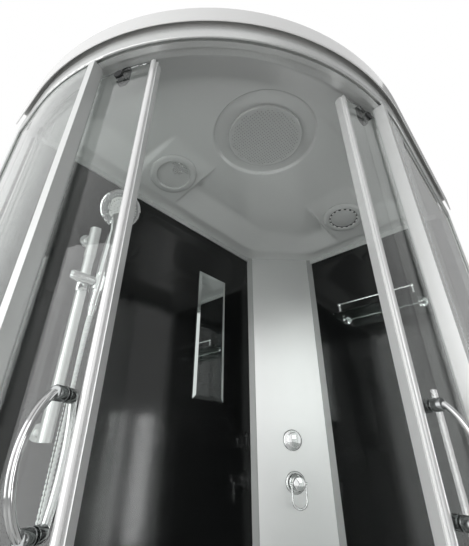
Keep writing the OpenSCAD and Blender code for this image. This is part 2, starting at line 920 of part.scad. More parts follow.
module lamp_lens() {
  r = insert_d / 2;
  color("white") on_lamp_pad() domed_disc(r, 3, 9);
}

module lamp_housing() {
  r = insert_d / 2 + 4;
  color("whitesmoke") on_lamp_pad() difference() {
    union() {
      translate([0, 0, -26]) cylinder(r = r, h = 26 - gap);
      translate([0, 0, -34]) cylinder(r1 = r - 22, r2 = r, h = 8 + eps);
      translate([0, 0, -roof_t / cos(lamp_tilt) - 3]) cylinder(r = r + 8, h = 3 - gap);
    }
    translate([0, 0, -23]) cylinder(r = r - 3, h = 40);
  }
}

// FITTINGS

mirror_t = 5;

module wall_mirror() {
  bevel = 12;
  y0 = 88;
  z0 = wall_top - 628;
  color("lightsteelblue") translate([panel_x, y0, z0]) rotate([90, 0, 90]) difference() {
    cube([mirror_w, mirror_h, mirror_t]);
    for (e = [0, 1]) {
      translate([e * mirror_w, 0, mirror_t]) rotate(e * 180) translate([0, -e * mirror_h, 0])
        bevel_cut(bevel, mirror_h);
      translate([(1 - e) * mirror_w, e * mirror_h, mirror_t]) rotate(90 + e * 180)
        bevel_cut(bevel, mirror_w);
    }
  }
}

// Wedge that takes a bevel of a width off an edge that runs along +Y from the origin
module bevel_cut(w, l) {
  depth = mirror_t / 2;
  translate([0, l + 1, 0]) rotate([90, 0, 0]) linear_extrude(l + 2)
    polygon([[w, 0], [w, 1], [-1, 1], [-1, -depth * (w + 1) / w]]);
}

shelf_x = -67;
shelf_z = wall_top - 320;
shelf_t = 6;
bracket_x = [shelf_x + 20, shelf_x + shelf_w - 20];
gallery_y = panel_y - shelf_d + 6;
gallery_z = shelf_z + shelf_t + 28;

module shelf_glass() {
  r = 18;
  color("lightcyan", 0.5) translate([0, 0, shelf_z]) linear_extrude(shelf_t) {
    rect(shelf_x, panel_y - shelf_d + r, shelf_x + shelf_w, panel_y - 3);
    rect(shelf_x + r, panel_y - shelf_d, shelf_x + shelf_w - r, panel_y - 3);
    for (x = [shelf_x + r, shelf_x + shelf_w - r]) translate([x, panel_y - shelf_d + r]) circle(r = r);
  }
}

module shelf_brackets() {
  color("silver") for (x = bracket_x) translate([x, panel_y, shelf_z]) {
    difference() {
      rotate([90, 0, 0]) cylinder(r = 16, h = 5);
      translate([-20, -6, 0]) cube([40, 12, shelf_t + gap]);
    }
    translate([0, 0, -6]) rotate([90, 0, 0]) cylinder(r = 6, h = 34);
    translate([0, -34, -6]) sphere(r = 6);
  }
}

module shelf_gallery() {
  r = 3;
  x0 = bracket_x[0] + 14;
  x1 = bracket_x[1] - 8;
  color("silver") {
    translate([x0, gallery_y, gallery_z]) rotate([0, 90, 0]) cylinder(r = r, h = x1 - x0);
    for (x = [x0, x1]) {
      translate([x, gallery_y, gallery_z]) sphere(r = r);
      translate([x, gallery_y, shelf_z + shelf_t]) cylinder(r = r, h = 28);
      translate([x, gallery_y, shelf_z + shelf_t]) cylinder(r = 6, h = 2);
    }
  }
}

// SLIDE BAR AND HAND SHOWER

module slide_bar() {
  color("silver") translate([bar_x, bar_y, bar_z + 3]) cylinder(d = bar_d, h = bar_len - 6);
}

// Sleeve over one end of the bar with its arm to the wall
module bar_end() {
  difference() {
    union() {
      cylinder(r = sleeve_r, h = sleeve_l);
      translate([0, 0, 20]) rotate([0, -90, 0]) cylinder(r = 9, h = bar_x - panel_x);
      translate([-(bar_x - panel_x), 0, 20]) rotate([0, 90, 0]) cylinder(r = 18, h = 6);
    }
    translate([0, 0, 3]) cylinder(d = bar_d, h = sleeve_l);
  }
}

module bar_ends() {
  color("silver") {
    translate([bar_x, bar_y, bar_z]) bar_end();
    translate([bar_x, bar_y, bar_z + bar_len]) mirror([0, 0, 1]) bar_end();
  }
}

module slider() {
  barrel_y0 = bar_y - 51;
  barrel_y1 = socket_y - cradle_r / cos(shower_lean) - barrel_r * tan(shower_lean) - gap;
  color("silver") difference() {
    union() {
      translate([bar_x, bar_y, slider_z - collar_h / 2]) cylinder(r = bar_d / 2 + 7, h = collar_h);
      translate([bar_x, bar_y, slider_z]) rotate([0, 90, 0])
        cylinder(r = barrel_y1 - bar_y - gap, h = socket_x - bar_x);
      translate([socket_x, barrel_y1, slider_z]) rotate([90, 0, 0])
        cylinder(r = barrel_r, h = barrel_y1 - barrel_y0 - 6);
      translate([socket_x, barrel_y0 + 6 + eps, slider_z]) rotate([90, 0, 0])
        cylinder(r1 = barrel_r, r2 = barrel_r - 4, h = 6);
    }
    translate([bar_x, bar_y, slider_z - collar_h]) cylinder(r = bar_d / 2 + run, h = 2 * collar_h);
    // socket for the cradle's pivot
    translate([socket_x, barrel_y1 + 1, slider_z]) rotate([90, 0, 0]) cylinder(r = 5 + run, h = 16);
    // groove between the barrel and its end cap
    translate([socket_x, bar_y - 26, slider_z]) rotate([90, 0, 0]) difference() {
      cylinder(r = barrel_r + 1, h = 1.5);
      translate([0, 0, -1]) cylinder(r = barrel_r - 1, h = 4);
    }
  }
}

// Frame of the hand shower: origin in the cradle, +Z up along the handle, +X the way the head faces
module held() {
  translate([socket_x, socket_y, slider_z]) rotate([-shower_lean, 0, 0]) rotate(-face_turn) children();
}

module shower_holder() {
  color("silver") {
    held() difference() {
      translate([0, 0, -cradle_h / 2]) cylinder(r = cradle_r, h = cradle_h);
      translate([0, 0, -cradle_h]) cylinder(r = grip_r + run, h = 2 * cradle_h);
      // mouth that the hose passes through
      translate([0, -hose_d / 2 - 1, -cradle_h]) cube([cradle_r + 5, hose_d + 2, 2 * cradle_h]);
    }
    translate([socket_x, socket_y - grip_r - 2, slider_z]) rotate([90, 0, 0])
      cylinder(r = 5, h = cradle_r - grip_r + 12);
  }
}

module hand_shower() {
  face_r = head_d / 2;
  color("silver") held() {
    // handle
    rotate_extrude() polygon([
      [0, -tail_len], [9, -tail_len], [10.5, -tail_len + 3], [grip_r - 0.6, -24], [grip_r, -22],
      [grip_r, 22], [grip_r + 0.5, 26], [13.2, 70], [13, 120], [12, 165], [0, 165]
    ]);
    // neck, swelling into the back of the head
    hull() {
      translate([0, 0, 164]) cylinder(r = 12, h = 1, $fn = 32);
      translate([-2, 0, neck_len - 22]) sphere(r = 14, $fn = 32);
      on_head() translate([0, 0, -17]) cylinder(r = 24, h = 3, $fn = 32);
    }
    // head, with a rim round the spray face
    on_head() rotate_extrude() polygon([
      [0, -20], [24, -18], [42, -12], [face_r - 4, -4], [face_r, 3], [face_r, 7], [face_r - 3, 9],
      [face_r - 7, 9], [face_r - 8, 7], [0, 7]
    ]);
    // spray nozzles
    on_head() for (ring = [1 : 3]) for (i = [0 : ring * 6 - 1])
      rotate(i * 60 / ring) translate([ring * (face_r - 14) / 3, 0, 6.9]) cylinder(r = 1.6, h = 1.4);
  }
}

// Frame of the hand shower's head: +Z out of the spray face
module on_head() {
  translate([head_in, 0, neck_len]) rotate([0, head_angle, 0]) children();
}

// Conical nut from z = 0 down, narrow end last
module hose_nut() {
  r0 = hose_d / 2 + 3;
  translate([0, 0, -nut_len]) difference() {
    union() {
      cylinder(r1 = hose_d / 2 + 0.5, r2 = r0, h = nut_len - 8);
      translate([0, 0, nut_len - 8]) cylinder(r = r0, h = 8);
    }
    translate([0, 0, nut_len - 8]) for (i = [0 : 17])
      rotate(i * 20) translate([r0, 0, -1]) cylinder(r = 0.6, h = 10);
  }
}

module hose_nut_upper() {
  color("silver") held() translate([0, 0, -tail_len]) hose_nut();
}

module hose_nut_lower() {
  last = hose_route[len(hose_route) - 1];
  color("silver") translate([last.x, last.y, nozzle_z]) hose_nut();
}

module hose_outlet() {
  color("silver") translate([outlet_x, outlet_y, outlet_z]) {
    translate([panel_x - outlet_x, 0, 0]) rotate([0, 90, 0]) {
      cylinder(r = 24, h = 3);
      translate([0, 0, 3]) cylinder(r1 = 24, r2 = 18, h = 4);
    }
    translate([panel_x - outlet_x, 0, 0]) rotate([0, 90, 0]) cylinder(r = 10, h = outlet_x - panel_x);
    sphere(r = 12);
    cylinder_from_to(10, -18, 0);
  }
}

// HOSE

// Smooth curve through four points, at t between the middle two
function bend(a, b, c, d, t) =
  0.5 * (2 * b + (c - a) * t + (2 * a - 5 * b + 4 * c - d) * t * t + (3 * b - a - 3 * c + d) * t * t * t);

steps = 8;
function route_at(i) = hose_route[max(0, min(len(hose_route) - 1, i))];
hose_path = [
  for (i = [0 : len(hose_route) - 2], j = [0 : steps - 1])
    (i == 0 || i == len(hose_route) - 2)
      ? route_at(i) + (route_at(i + 1) - route_at(i)) * j / steps
      : bend(route_at(i - 1), route_at(i), route_at(i + 1), route_at(i + 2), j / steps),
  route_at(len(hose_route) - 1)
];
hose_run = [for (i = 0, s = 0; i < len(hose_path); i = i + 1,
  s = s + (i < len(hose_path) ? norm(hose_path[i] - hose_path[i - 1]) : 0)) s];
hose_len = hose_run[len(hose_run) - 1];

// Point of the path at a length along it, and the way it heads there
function index_at(s, i = 0) = i >= len(hose_run) - 2 || hose_run[i + 1] >= s ? i : index_at(s, i + 1);
function path_point(s) =
  let (i = index_at(s)) hose_path[i] + (hose_path[i + 1] - hose_path[i])
    * (s - hose_run[i]) / (hose_run[i + 1] - hose_run[i]);
function unit(v) = v / norm(v);
function path_way(s) =
  s < hose_d ? unit(route_at(1) - route_at(0)) :
  s > hose_len - hose_d ? unit(route_at(len(hose_route) - 1) - route_at(len(hose_route) - 2)) :
  unit(path_point(min(hose_len, s + 4)) - path_point(max(0, s - 4)));

// Ring of points round the path. The path stays close to one upright plane, which gives the side.
plane_side = unit([113, 40, 0]);
function ring(s, r) =
  let (p = path_point(s), t = path_way(s), u = unit(plane_side - (plane_side * t) * t), v = cross(t, u))
  [for (k = [0 : hose_sides - 1]) p + r * (cos(k * 360 / hose_sides) * u + sin(k * 360 / hose_sides) * v)];

// Faces between rings of a closed skin, turned inside out when flip is 1
function skin(first, rings, flip) = [
  for (i = [0 : rings - 2], k = [0 : hose_sides - 1])
    let (a = first + i * hose_sides + k, b = first + i * hose_sides + (k + 1) % hose_sides,
         c = a + hose_sides, d = b + hose_sides)
    each (flip == 1 ? [[a, c, b], [b, c, d]] : [[a, b, c], [b, d, c]])
];

function end_ring(outer, inner, flip) = [
  for (k = [0 : hose_sides - 1])
    let (n = (k + 1) % hose_sides)
    each (flip == 1 ? [[outer + k, outer + n, inner + k], [outer + n, inner + n, inner + k]]
                    : [[outer + k, inner + k, outer + n], [outer + n, inner + k, inner + n]])
];

module shower_hose() {
  outer_r = hose_d / 2;
  bore_rings = 56;
  outer = [
    for (i = [0 : hose_ribs - 1], e = [0, 1])
      ring(hose_len * (i + (e == 0 ? 0 : i == hose_ribs - 1 ? 1 : 0.5)) / hose_ribs,
           e == 0 ? outer_r - rib_depth : outer_r)
  ];
  inner = [for (i = [0 : bore_rings - 1]) ring(hose_len * i / (bore_rings - 1), hose_bore / 2)];
  points = [for (r = outer) each r, for (r = inner) each r];
  n_out = len(outer);
  last_out = (n_out - 1) * hose_sides;
  in0 = n_out * hose_sides;
  last_in = in0 + (bore_rings - 1) * hose_sides;
  color("silver") polyhedron(points, concat(
    skin(0, n_out, 0), skin(in0, bore_rings, 1),
    end_ring(0, in0, 0), end_ring(last_out, last_in, 1)));
}

// TAPS AND PIPES, drawn on the column: X to the right, Y up, +Z out

cartridge_r = 17;
cartridge_out = 36;
valve_r = 28;
valve_depth = 56;
hub_r = 19.5;
hub_out = 62;
pivot_out = 50;
pivot_r = 4;
wire_r = 3;
leg_x = hub_r + gap + wire_r;
spindle_r = 5;
spindle_out = 30;

// Round wall plate with a domed edge and a bore
module wall_plate(r, bore, h) {
  rotate_extrude() polygon([
    [bore, 0], [r, 0], [r, h * 0.4], [r - 1.5, h * 0.75], [r - 4, h], [bore, h]
  ]);
}

module mixer_plate() {
  color("silver") on_column(0, mixer_z) wall_plate(34, cartridge_r + gap, 6);
}

module mixer_valve() {
  color("goldenrod") on_column(0, mixer_z) {
    translate([0, 0, -column_t - valve_depth]) cylinder(r = valve_r, h = valve_depth);
    translate([0, 0, -column_t - eps]) cylinder(r = cartridge_r, h = column_t + cartridge_out);
    // hot and cold inlets
    for (x = [-inlet_x, inlet_x])
      translate([x, 0, -column_t - valve_depth - inlet_len]) cylinder(r = inlet_r, h = inlet_len + eps);
  }
}

module mixer_cap() {
  color("silver") on_column(0, mixer_z) difference() {
    rotate_extrude() polygon([
      [0, 6 + gap], [30, 6 + gap], [30, 12], [28.5, 17], [25, 21], [hub_r + 1, 23.5], [hub_r, 26],
      [hub_r, hub_out - 3], [hub_r - 1.5, hub_out - 0.8], [hub_r - 4, hub_out], [0, hub_out + 1]
    ]);
    cylinder(r = cartridge_r + run, h = cartridge_out + gap);
    translate([-hub_r - 1, 0, pivot_out]) rotate([0, 90, 0]) cylinder(r = pivot_r + run, h = 2 * hub_r + 2);
  }
}

module mixer_lever() {
  drop = 46;
  color("silver") on_column(0, mixer_z) translate([0, 0, pivot_out]) {
    translate([-leg_x - 5, 0, 0]) rotate([0, 90, 0]) cylinder(r = pivot_r, h = 2 * leg_x + 10);
    for (s = [-1, 1]) translate([s * leg_x, 0, 0]) rotate([90, 0, 0]) cylinder(r = wire_r, h = drop);
    // bend at the bottom, a little thicker than the legs that run into it
    translate([0, 1 - drop, 0]) rotate(180) rotate_extrude(angle = 180)
      translate([leg_x, 0]) circle(r = wire_r + 0.5);
  }
}

module diverter_plate() {
  color("silver") on_column(0, diverter_z) wall_plate(34, spindle_r + 3, 6);
}

module diverter_knob() {
  r = 24;
  color("silver") on_column(0, diverter_z) difference() {
    rotate_extrude() polygon([
      [0, 6 + gap], [16, 6 + gap], [15, 14], [16, 19], [r - 1.5, 20.5], [r, 22], [r, 37], [r - 1, 39],
      [r - 3, 40], [0, 40.5]
    ]);
    cylinder(r = spindle_r + run, h = spindle_out + gap);
    for (i = [0 : 11]) rotate(i * 30) translate([r + 1.6, 0, 21]) cylinder(r = 3, h = 20);
  }
}

module water_pipes() {
  body_y = -column_t - 46;
  top_z = ceiling_z + recess_h + 22;
  corner = [column_mid.x - riser_y / sqrt(2), column_mid.y + riser_y / sqrt(2)];
  over = [rain_x, rain_y] - corner;
  hub = column_mid + [-1, 1] * 30 / sqrt(2);
  color("peru") {
    // diverter body with its spindle
    on_column(0, diverter_z) {
      translate([0, 0, body_y]) cylinder(r = 20, h = -column_t - body_y);
      translate([0, 0, -column_t - eps]) cylinder(r = spindle_r, h = column_t + spindle_out);
      translate([0, 0, -riser_y]) cylinder(r = pipe_r, h = riser_y + body_y + eps);
    }
    // supply from the mixer below
    on_column(0, mixer_z) translate([0, valve_r + gap, -column_t - 26]) rotate([-90, 0, 0])
      cylinder(r = pipe_r, h = diverter_z - mixer_z - valve_r - gap - 18);
    // riser, the run over the roof and the drop to the overhead shower
    translate([corner.x, corner.y, diverter_z]) cylinder(r = pipe_r, h = top_z - diverter_z);
    for (z = [diverter_z, top_z]) translate([corner.x, corner.y, z]) sphere(r = pipe_r + 3);
    translate([corner.x, corner.y, top_z]) rotate([0, 90, heading(over)])
      cylinder(r = pipe_r, h = norm(over) - pipe_r - gap);
    // supply of the hose outlet, behind the long panel
    translate([wall_pipe_x, hub.y, diverter_z]) {
      rotate([0, 90, 0]) cylinder(r = wall_pipe_r, h = hub.x - wall_pipe_x);
      rotate([180, 0, 0]) cylinder(r = wall_pipe_r, h = diverter_z - outlet_z);
      sphere(r = wall_pipe_r + 1.5);
    }
    translate([wall_pipe_x, hub.y, outlet_z]) {
      rotate([90, 0, 0]) cylinder(r = wall_pipe_r, h = hub.y - outlet_y);
      sphere(r = wall_pipe_r + 0.8);
    }
    translate([wall_pipe_x, outlet_y, outlet_z]) {
      rotate([0, 90, 0]) cylinder(r = wall_pipe_r, h = panel_x - gap - wall_pipe_x);
      sphere(r = wall_pipe_r + 0.8);
    }
  }
}

// DOORS

module door_glass(s) {
  end = arc_a(edge_w - 5);
  color("lightcyan", 0.35) opened(s) difference() {
    door_sweep(s, end, door_a) rect(track_in - half_glass, glass_z0, track_in + half_glass, glass_z1);
    for (a = [lead_a, door_a - tail_a])
      at_front(door_at(s, a), track_in + 10, clamp_z) rotate([0, 90, 0]) cylinder(r = stud_r + gap, h = 20);
    for (z = [-1, 1])
      at_front(door_at(s, handle_a), track_in + 10, handle_z + z * handle_pitch / 2)
        rotate([0, 90, 0]) cylinder(r = stud_r + gap, h = 20);
  }
}

// Leading profile with its magnet strip, and the seal on the tail
// Section of a door's leading profile: X out of the cabin, Y from the meeting line along the door
module door_edge_section() {
  lead = 4;
  bulge = 1.7;
  half_w = (edge_w - lead) / 2;
  // the rounded face stands on a shoulder at each side
  half_c = half_w - 0.4;
  bow_r = (half_c * half_c + bulge * bulge) / (2 * bulge);
  difference() {
    union() {
      rect(-edge_inward, lead, edge_out - bulge, edge_w);
      intersection() {
        rect(0, lead + 0.2, edge_out + 1, edge_w - 0.2);
        translate([edge_out - bow_r, lead + half_w]) circle(r = bow_r);
      }
      // magnet strip
      rect(1 - edge_inward, gap, 1, lead + eps);
    }
    rect(-half_glass - play, edge_w - 6, half_glass + play, edge_w + 1);
    // groove beside the strip
    rect(2.5, lead - 1, 3.7, lead + 1.2);
  }
}

module door_edge(s) {
  z0 = glass_z0 - 4;
  color("whitesmoke") opened(s) {
    at_front(door_at(s, 0), track_in, z0) linear_extrude(glass_z1 - z0)
      if (s > 0) door_edge_section(); else mirror([0, 1]) door_edge_section();
    // tail seal on the outer face
    door_sweep(s, door_a - arc_a(9), door_a)
      rect(track_in - half_glass - 3, glass_z0, track_in - half_glass, glass_z1);
  }
}

// Black hangers with their axles and clamp studs, and the guides under the glass
module door_hangers(s) {
  height = axle_z + 8 - hanger_z0;
  color([0.08, 0.08, 0.08]) opened(s) for (a = [lead_a, door_a - tail_a]) {
    at_front(door_at(s, a), hanger_in + hanger_t, hanger_z0 + height / 2) rotate([90, 0, 90])
      linear_extrude(hanger_t) slot2d(hanger_w, height);
    // axle with its shoulder
    at_front(door_at(s, a), hanger_in + eps, axle_z) rotate([0, 90, 0]) {
      cylinder(r = axle_r + 2, h = hanger_in - track_in - roller_w / 2 - gap);
      cylinder(r = axle_r, h = hanger_in - track_in + roller_w / 2 + 1);
    }
    // clamp stud through the glass with its spacer and its cap
    at_front(door_at(s, a), hanger_in + eps, clamp_z) rotate([0, 90, 0]) {
      cylinder(r = cap_r, h = hanger_in - track_in - half_glass - curve_play);
      cylinder(r = stud_r, h = hanger_in - track_in + half_glass + 2);
      translate([0, 0, hanger_in - track_in + half_glass]) cylinder(r = cap_r, h = 3);
    }
    // guide shoe on the lower edge, with its finger in the bottom rail
    at_front(door_at(s, a), track_in, 0) {
      translate([-half_glass - 3, -12, glass_z0 - 5]) difference() {
        cube([glass_t + 6, 24, 16]);
        translate([3 - curve_play, -1, 5]) cube([glass_t + 2 * curve_play, 26, 20]);
      }
      cylinder_from_to(finger_r, rail0_z + ledge_z + rail_t + gap, glass_z0 - 5 + eps);
    }
  }
}

// Handle: two studs through the glass and a bow on each face
module door_handle(s) {
  chord = handle_pitch / 2;
  color("silver") opened(s) at_front(door_at(s, handle_a), track_in, handle_z) {
    for (z = [-1, 1]) translate([0, 0, z * chord]) {
      translate([-bow_start - half_glass, 0, 0]) rotate([0, 90, 0]) cylinder(r = stud_r, h = 2 * bow_start + glass_t);
      for (f = [0, 1]) rotate([0, f * 180, 0]) translate([half_glass, 0, 0]) rotate([0, 90, 0]) {
        cylinder(r = handle_r, h = bow_start - 2);
        translate([0, 0, bow_start - 2]) cylinder(r1 = handle_r, r2 = handle_r - 2, h = 4);
      }
    }
    // a full bow outside and a flat one inside
    for (f = [0, 1]) rotate([0, 0, f * 180])
      let (reach = f == 0 ? bow_out : bow_in, sag = reach - bow_start,
           bow_R = (chord * chord + sag * sag) / (2 * sag), half_a = asin(chord / bow_R))
        translate([half_glass + reach - bow_R, 0, 0]) rotate([90, 0, 0]) rotate(-half_a)
          rotate_extrude(angle = 2 * half_a) translate([bow_R, 0]) circle(d = bow_d);
  }
}

// Nylon roller that runs on the ledge of the top rail
module roller(s, a) {
  color("whitesmoke") opened(s)
    at_front(door_at(s, a), track_in, axle_z) rotate([0, 90, 0]) difference() {
      rotate_extrude() polygon([
        [0, -roller_w / 2], [roller_r - 1, -roller_w / 2], [roller_r, -roller_w / 2 + 1],
        [roller_r, roller_w / 2 - 1], [roller_r - 1, roller_w / 2], [0, roller_w / 2]
      ]);
      translate([0, 0, -roller_w]) cylinder(r = axle_r + run, h = 2 * roller_w);
      for (f = [0, 1]) rotate([f * 180, 0, 0]) translate([0, 0, roller_w / 2 - 1]) difference() {
        cylinder(r = roller_r - 3, h = 2);
        cylinder(r = axle_r + 2.5, h = 5, center = true);
      }
    }
}

tray();
tray_apron();
tray_frame();
tray_feet();
drain_trap();
drain_cover();
bottom_rail();
top_rail();
wall_posts();
door_posts();
post_seals();
fixed_glass_left();
fixed_glass_right();
wall_panel_left();
wall_panel_back();
panel_rails();
column_panel();
column_trims();
roof_shell();
roof_band();
rain_plate();
fan_bezel();
fan_grille();
fan_housing();
fan_rotor();
lamp_bezel();
lamp_lens();
lamp_housing();
wall_mirror();
shelf_glass();
shelf_brackets();
shelf_gallery();
slide_bar();
bar_ends();
slider();
shower_holder();
hand_shower();
hose_nut_upper();
hose_nut_lower();
shower_hose();
hose_outlet();
mixer_plate();
mixer_valve();
mixer_cap();
mixer_lever();
diverter_plate();
diverter_knob();
water_pipes();
door_glass(-1);  // door_glass_left
door_edge(-1);  // door_edge_left
door_hangers(-1);  // door_hangers_left
door_handle(-1);  // door_handle_left
roller(-1, lead_a);  // roller_left_lead
roller(-1, door_a - tail_a);  // roller_left_tail
door_glass(1);  // door_glass_right
door_edge(1);  // door_edge_right
door_hangers(1);  // door_hangers_right
door_handle(1);  // door_handle_right
roller(1, lead_a);  // roller_right_lead
roller(1, door_a - tail_a);  // roller_right_tail
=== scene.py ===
# %% [markdown]
# # A quarter-round shower cabin
# The cabin is packed as sixty solids that already have the right size and place.
# This lesson keeps the solids whose shape is right, softens the edges of the ones
# that are cast, moulded or drawn, and builds anew the pieces whose real form is too
# smooth or too fine for a solid: the moulded ceiling, the ribbed hose, the ridged
# handles, the nozzles, the shelf's gallery, the lamp's ring of painted reflections and the
# spray face.

import json
import math

import bmesh
import bpy
from mathutils import Matrix, Vector


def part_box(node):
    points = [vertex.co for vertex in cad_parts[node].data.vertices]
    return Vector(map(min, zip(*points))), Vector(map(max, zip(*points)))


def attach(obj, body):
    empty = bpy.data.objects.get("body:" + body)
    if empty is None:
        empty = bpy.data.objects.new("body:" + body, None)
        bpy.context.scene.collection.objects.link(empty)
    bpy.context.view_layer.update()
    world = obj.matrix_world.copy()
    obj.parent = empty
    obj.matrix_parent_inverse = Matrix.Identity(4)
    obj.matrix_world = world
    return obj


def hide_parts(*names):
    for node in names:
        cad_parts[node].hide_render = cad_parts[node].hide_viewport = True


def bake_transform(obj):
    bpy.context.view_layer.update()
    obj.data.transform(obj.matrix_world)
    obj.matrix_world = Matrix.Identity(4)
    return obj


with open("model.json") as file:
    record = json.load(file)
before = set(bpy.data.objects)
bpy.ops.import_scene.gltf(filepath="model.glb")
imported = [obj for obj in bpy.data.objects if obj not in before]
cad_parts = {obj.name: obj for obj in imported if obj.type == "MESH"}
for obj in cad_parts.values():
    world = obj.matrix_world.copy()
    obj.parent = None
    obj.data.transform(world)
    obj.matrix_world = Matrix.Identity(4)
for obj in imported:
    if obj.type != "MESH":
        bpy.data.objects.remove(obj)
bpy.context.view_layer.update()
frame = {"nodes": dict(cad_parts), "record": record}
nodes = frame["nodes"]
scene = bpy.context.scene
print("nodes in the frame:", len(nodes))

# %% [markdown]
# ## The camera
# The photograph looks up from outside the right end of the doorway, from about the
# height of the handles, through a wide lens. The direction is easier to write as a
# heading and a rise than as Euler angles, so the three axes of the camera are worked
# out first and become the columns of its matrix.

# %% Camera
eye = Vector((0.4635, -0.6704, 1.277))
heading, rise, tilt = (math.radians(a) for a in (-41.66, 29.52, 0.21))
ahead = Vector((math.sin(heading) * math.cos(rise), math.cos(heading) * math.cos(rise), math.sin(rise)))
level = Vector((math.cos(heading), -math.sin(heading), 0))
upward = level.cross(ahead)
right = math.cos(tilt) * level + math.sin(tilt) * upward
top = math.cos(tilt) * upward - math.sin(tilt) * level

camera = bpy.data.objects.new("camera", bpy.data.cameras.new("camera"))
scene.collection.objects.link(camera)
axes = Matrix((right, top, -ahead)).transposed().to_4x4()
camera.matrix_world = Matrix.Translation(eye) @ axes
camera.data.lens = 22.48
camera.data.shift_x = 0.002
camera.data.shift_y = -0.0186
camera.data.clip_start = 0.01
scene.camera = camera

# %% [markdown]
# ## The hose
# A shower hose is a strip of chromed brass, wound into a spiral with its edges hooked
# into each other, so its outline is a row of small rounded ribs. The centre line is a
# smooth curve through a few points. A ring of vertices is carried along it and its
# radius rises and falls along a helix, which gives the one continuous rib.

# %% Centre line of the hose
hose_points = [
    (-300, -322.6, 1561.5), (-300, -323.5, 1545), (-301, -325, 1500), (-303, -326, 1420),
    (-307, -327, 1250), (-310, -328, 1050), (-312, -328, 850), (-312, -328, 720),
    (-312, -328, 612), (-314, -324, 589), (-318, -311, 570), (-324, -293, 557),
    (-332, -271, 552), (-340, -250, 557), (-346, -232, 570), (-350, -219, 589),
    (-352, -215, 612), (-352, -215, 700), (-352, -215, 800), (-352, -215, 900),
    (-352, -215, 950), (-352, -215, 966),
]


def smooth_line(points, steps):
    """Points on a Catmull-Rom curve through the given ones."""
    p = [Vector(q) for q in points]
    line = []
    for i in range(len(p) - 1):
        a, b, c, d = p[max(i - 1, 0)], p[i], p[i + 1], p[min(i + 2, len(p) - 1)]
        for k in range(steps):
            t = k / steps
            line.append(0.5 * (2 * b + (c - a) * t + (2 * a - 5 * b + 4 * c - d) * t * t
                               + (3 * b - a - 3 * c + d) * t ** 3))
    return line + [p[-1]]


def even_line(line, gap):
    """The same line again, with points about a gap apart."""
    run = [0.0]
    for a, b in zip(line, line[1:]):
        run.append(run[-1] + (b - a).length)
    count = round(run[-1] / gap)
    out, j = [], 0
    for i in range(count + 1):
        s = run[-1] * i / count
        while j < len(run) - 2 and run[j + 1] < s:
            j += 1
        out.append(line[j].lerp(line[j + 1], (s - run[j]) / (run[j + 1] - run[j])))
    return out, run[-1]


MM = 0.001
RING_GAP = 0.0012
hose_line, hose_length = even_line([p * MM for p in smooth_line(hose_points, 12)], RING_GAP)
print("hose length", round(hose_length, 3), "m, in", len(hose_line), "rings")

# %% Ribbed tube of the hose
def link(bm, name):
    """Makes a smoothly shaded piece of a bmesh and frees the bmesh."""
    mesh = bpy.data.meshes.new(name)
    for face in bm.faces:
        face.smooth = True
    bm.to_mesh(mesh)
    bm.free()
    piece = bpy.data.objects.new(name, mesh)
    scene.collection.objects.link(piece)
    return piece


def carry_ring(bm, line, radius_at, sides):
    """Carries a circle of vertices along a line and closes both ends. radius_at(i, angle) is in metres."""
    side = Vector((1, 0, 0))
    ring = bmesh.ops.create_circle(bm, segments=sides, radius=1)["verts"]
    angles = {v: math.atan2(v.co.y, v.co.x) for v in ring}
    before = None
    for i, point in enumerate(line):
        way = (line[min(i + 1, len(line) - 1)] - line[max(i - 1, 0)]).normalized()
        side = (side - side.dot(way) * way).normalized()
        other = way.cross(side)
        if before:
            edges = {e for v in ring for e in v.link_edges if e.other_vert(v) in angles}
            made = bmesh.ops.extrude_edge_only(bm, edges=list(edges))["geom"]
            ring = [v for v in made if isinstance(v, bmesh.types.BMVert)]
            centre, s0, o0 = before
            angles = {v: math.atan2((v.co - centre).dot(o0), (v.co - centre).dot(s0)) for v in ring}
        for v, a in angles.items():
            v.co = point + radius_at(i, a) * (math.cos(a) * side + math.sin(a) * other)
        before = point, side, other
    bmesh.ops.holes_fill(bm, edges=bm.edges, sides=sides)
    bmesh.ops.recalc_face_normals(bm, faces=bm.faces)


HOSE_R = 0.0072
HOSE_SIDES = 16
RIB_DEPTH = 0.0022
RINGS_PER_RIB = 7.5


def hose_radius(i, angle):
    """Round ribs with narrow grooves between them, along one spiral."""
    rib = abs(math.cos(math.pi * i / RINGS_PER_RIB - angle / 2))
    return HOSE_R - RIB_DEPTH * (1 - rib) ** 1.5


bm = bmesh.new()
carry_ring(bm, hose_line, hose_radius, HOSE_SIDES)
hose = link(bm, "ribbed_hose")
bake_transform(hose)
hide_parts("shower_hose")
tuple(hose_line[0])

# %% [markdown]
# ## Finishes
# Real surfaces are never one flat colour. Each finish is a Principled shader whose
# colour and roughness wander a little with noise, and whose normal gets a fine relief.
# Anodised profiles and satin plate are even, so their relief is slight. The pattern
# reads Object coordinates, because every piece keeps its origin at the world's origin.

# %% One maker for the opaque finishes
NOISE_LOW, NOISE_HIGH = 0.3, 0.7


def new_tree(name):
    """A new material, with its tree of nodes and its shader."""
    mat = bpy.data.materials.new(name)
    mat.use_nodes = True
    tree = mat.node_tree
    shader = tree.nodes["Principled BSDF"]
    return mat, tree, shader


def pattern(tree, scale, detail=2.0):
    """A noise over the piece, with its scale in features per metre."""
    place = tree.nodes.new("ShaderNodeTexCoord")
    noise = tree.nodes.new("ShaderNodeTexNoise")
    noise.inputs["Scale"].default_value = scale
    noise.inputs["Detail"].default_value = detail
    tree.links.new(place.outputs["Object"], noise.inputs["Vector"])
    return noise.outputs["Fac"]


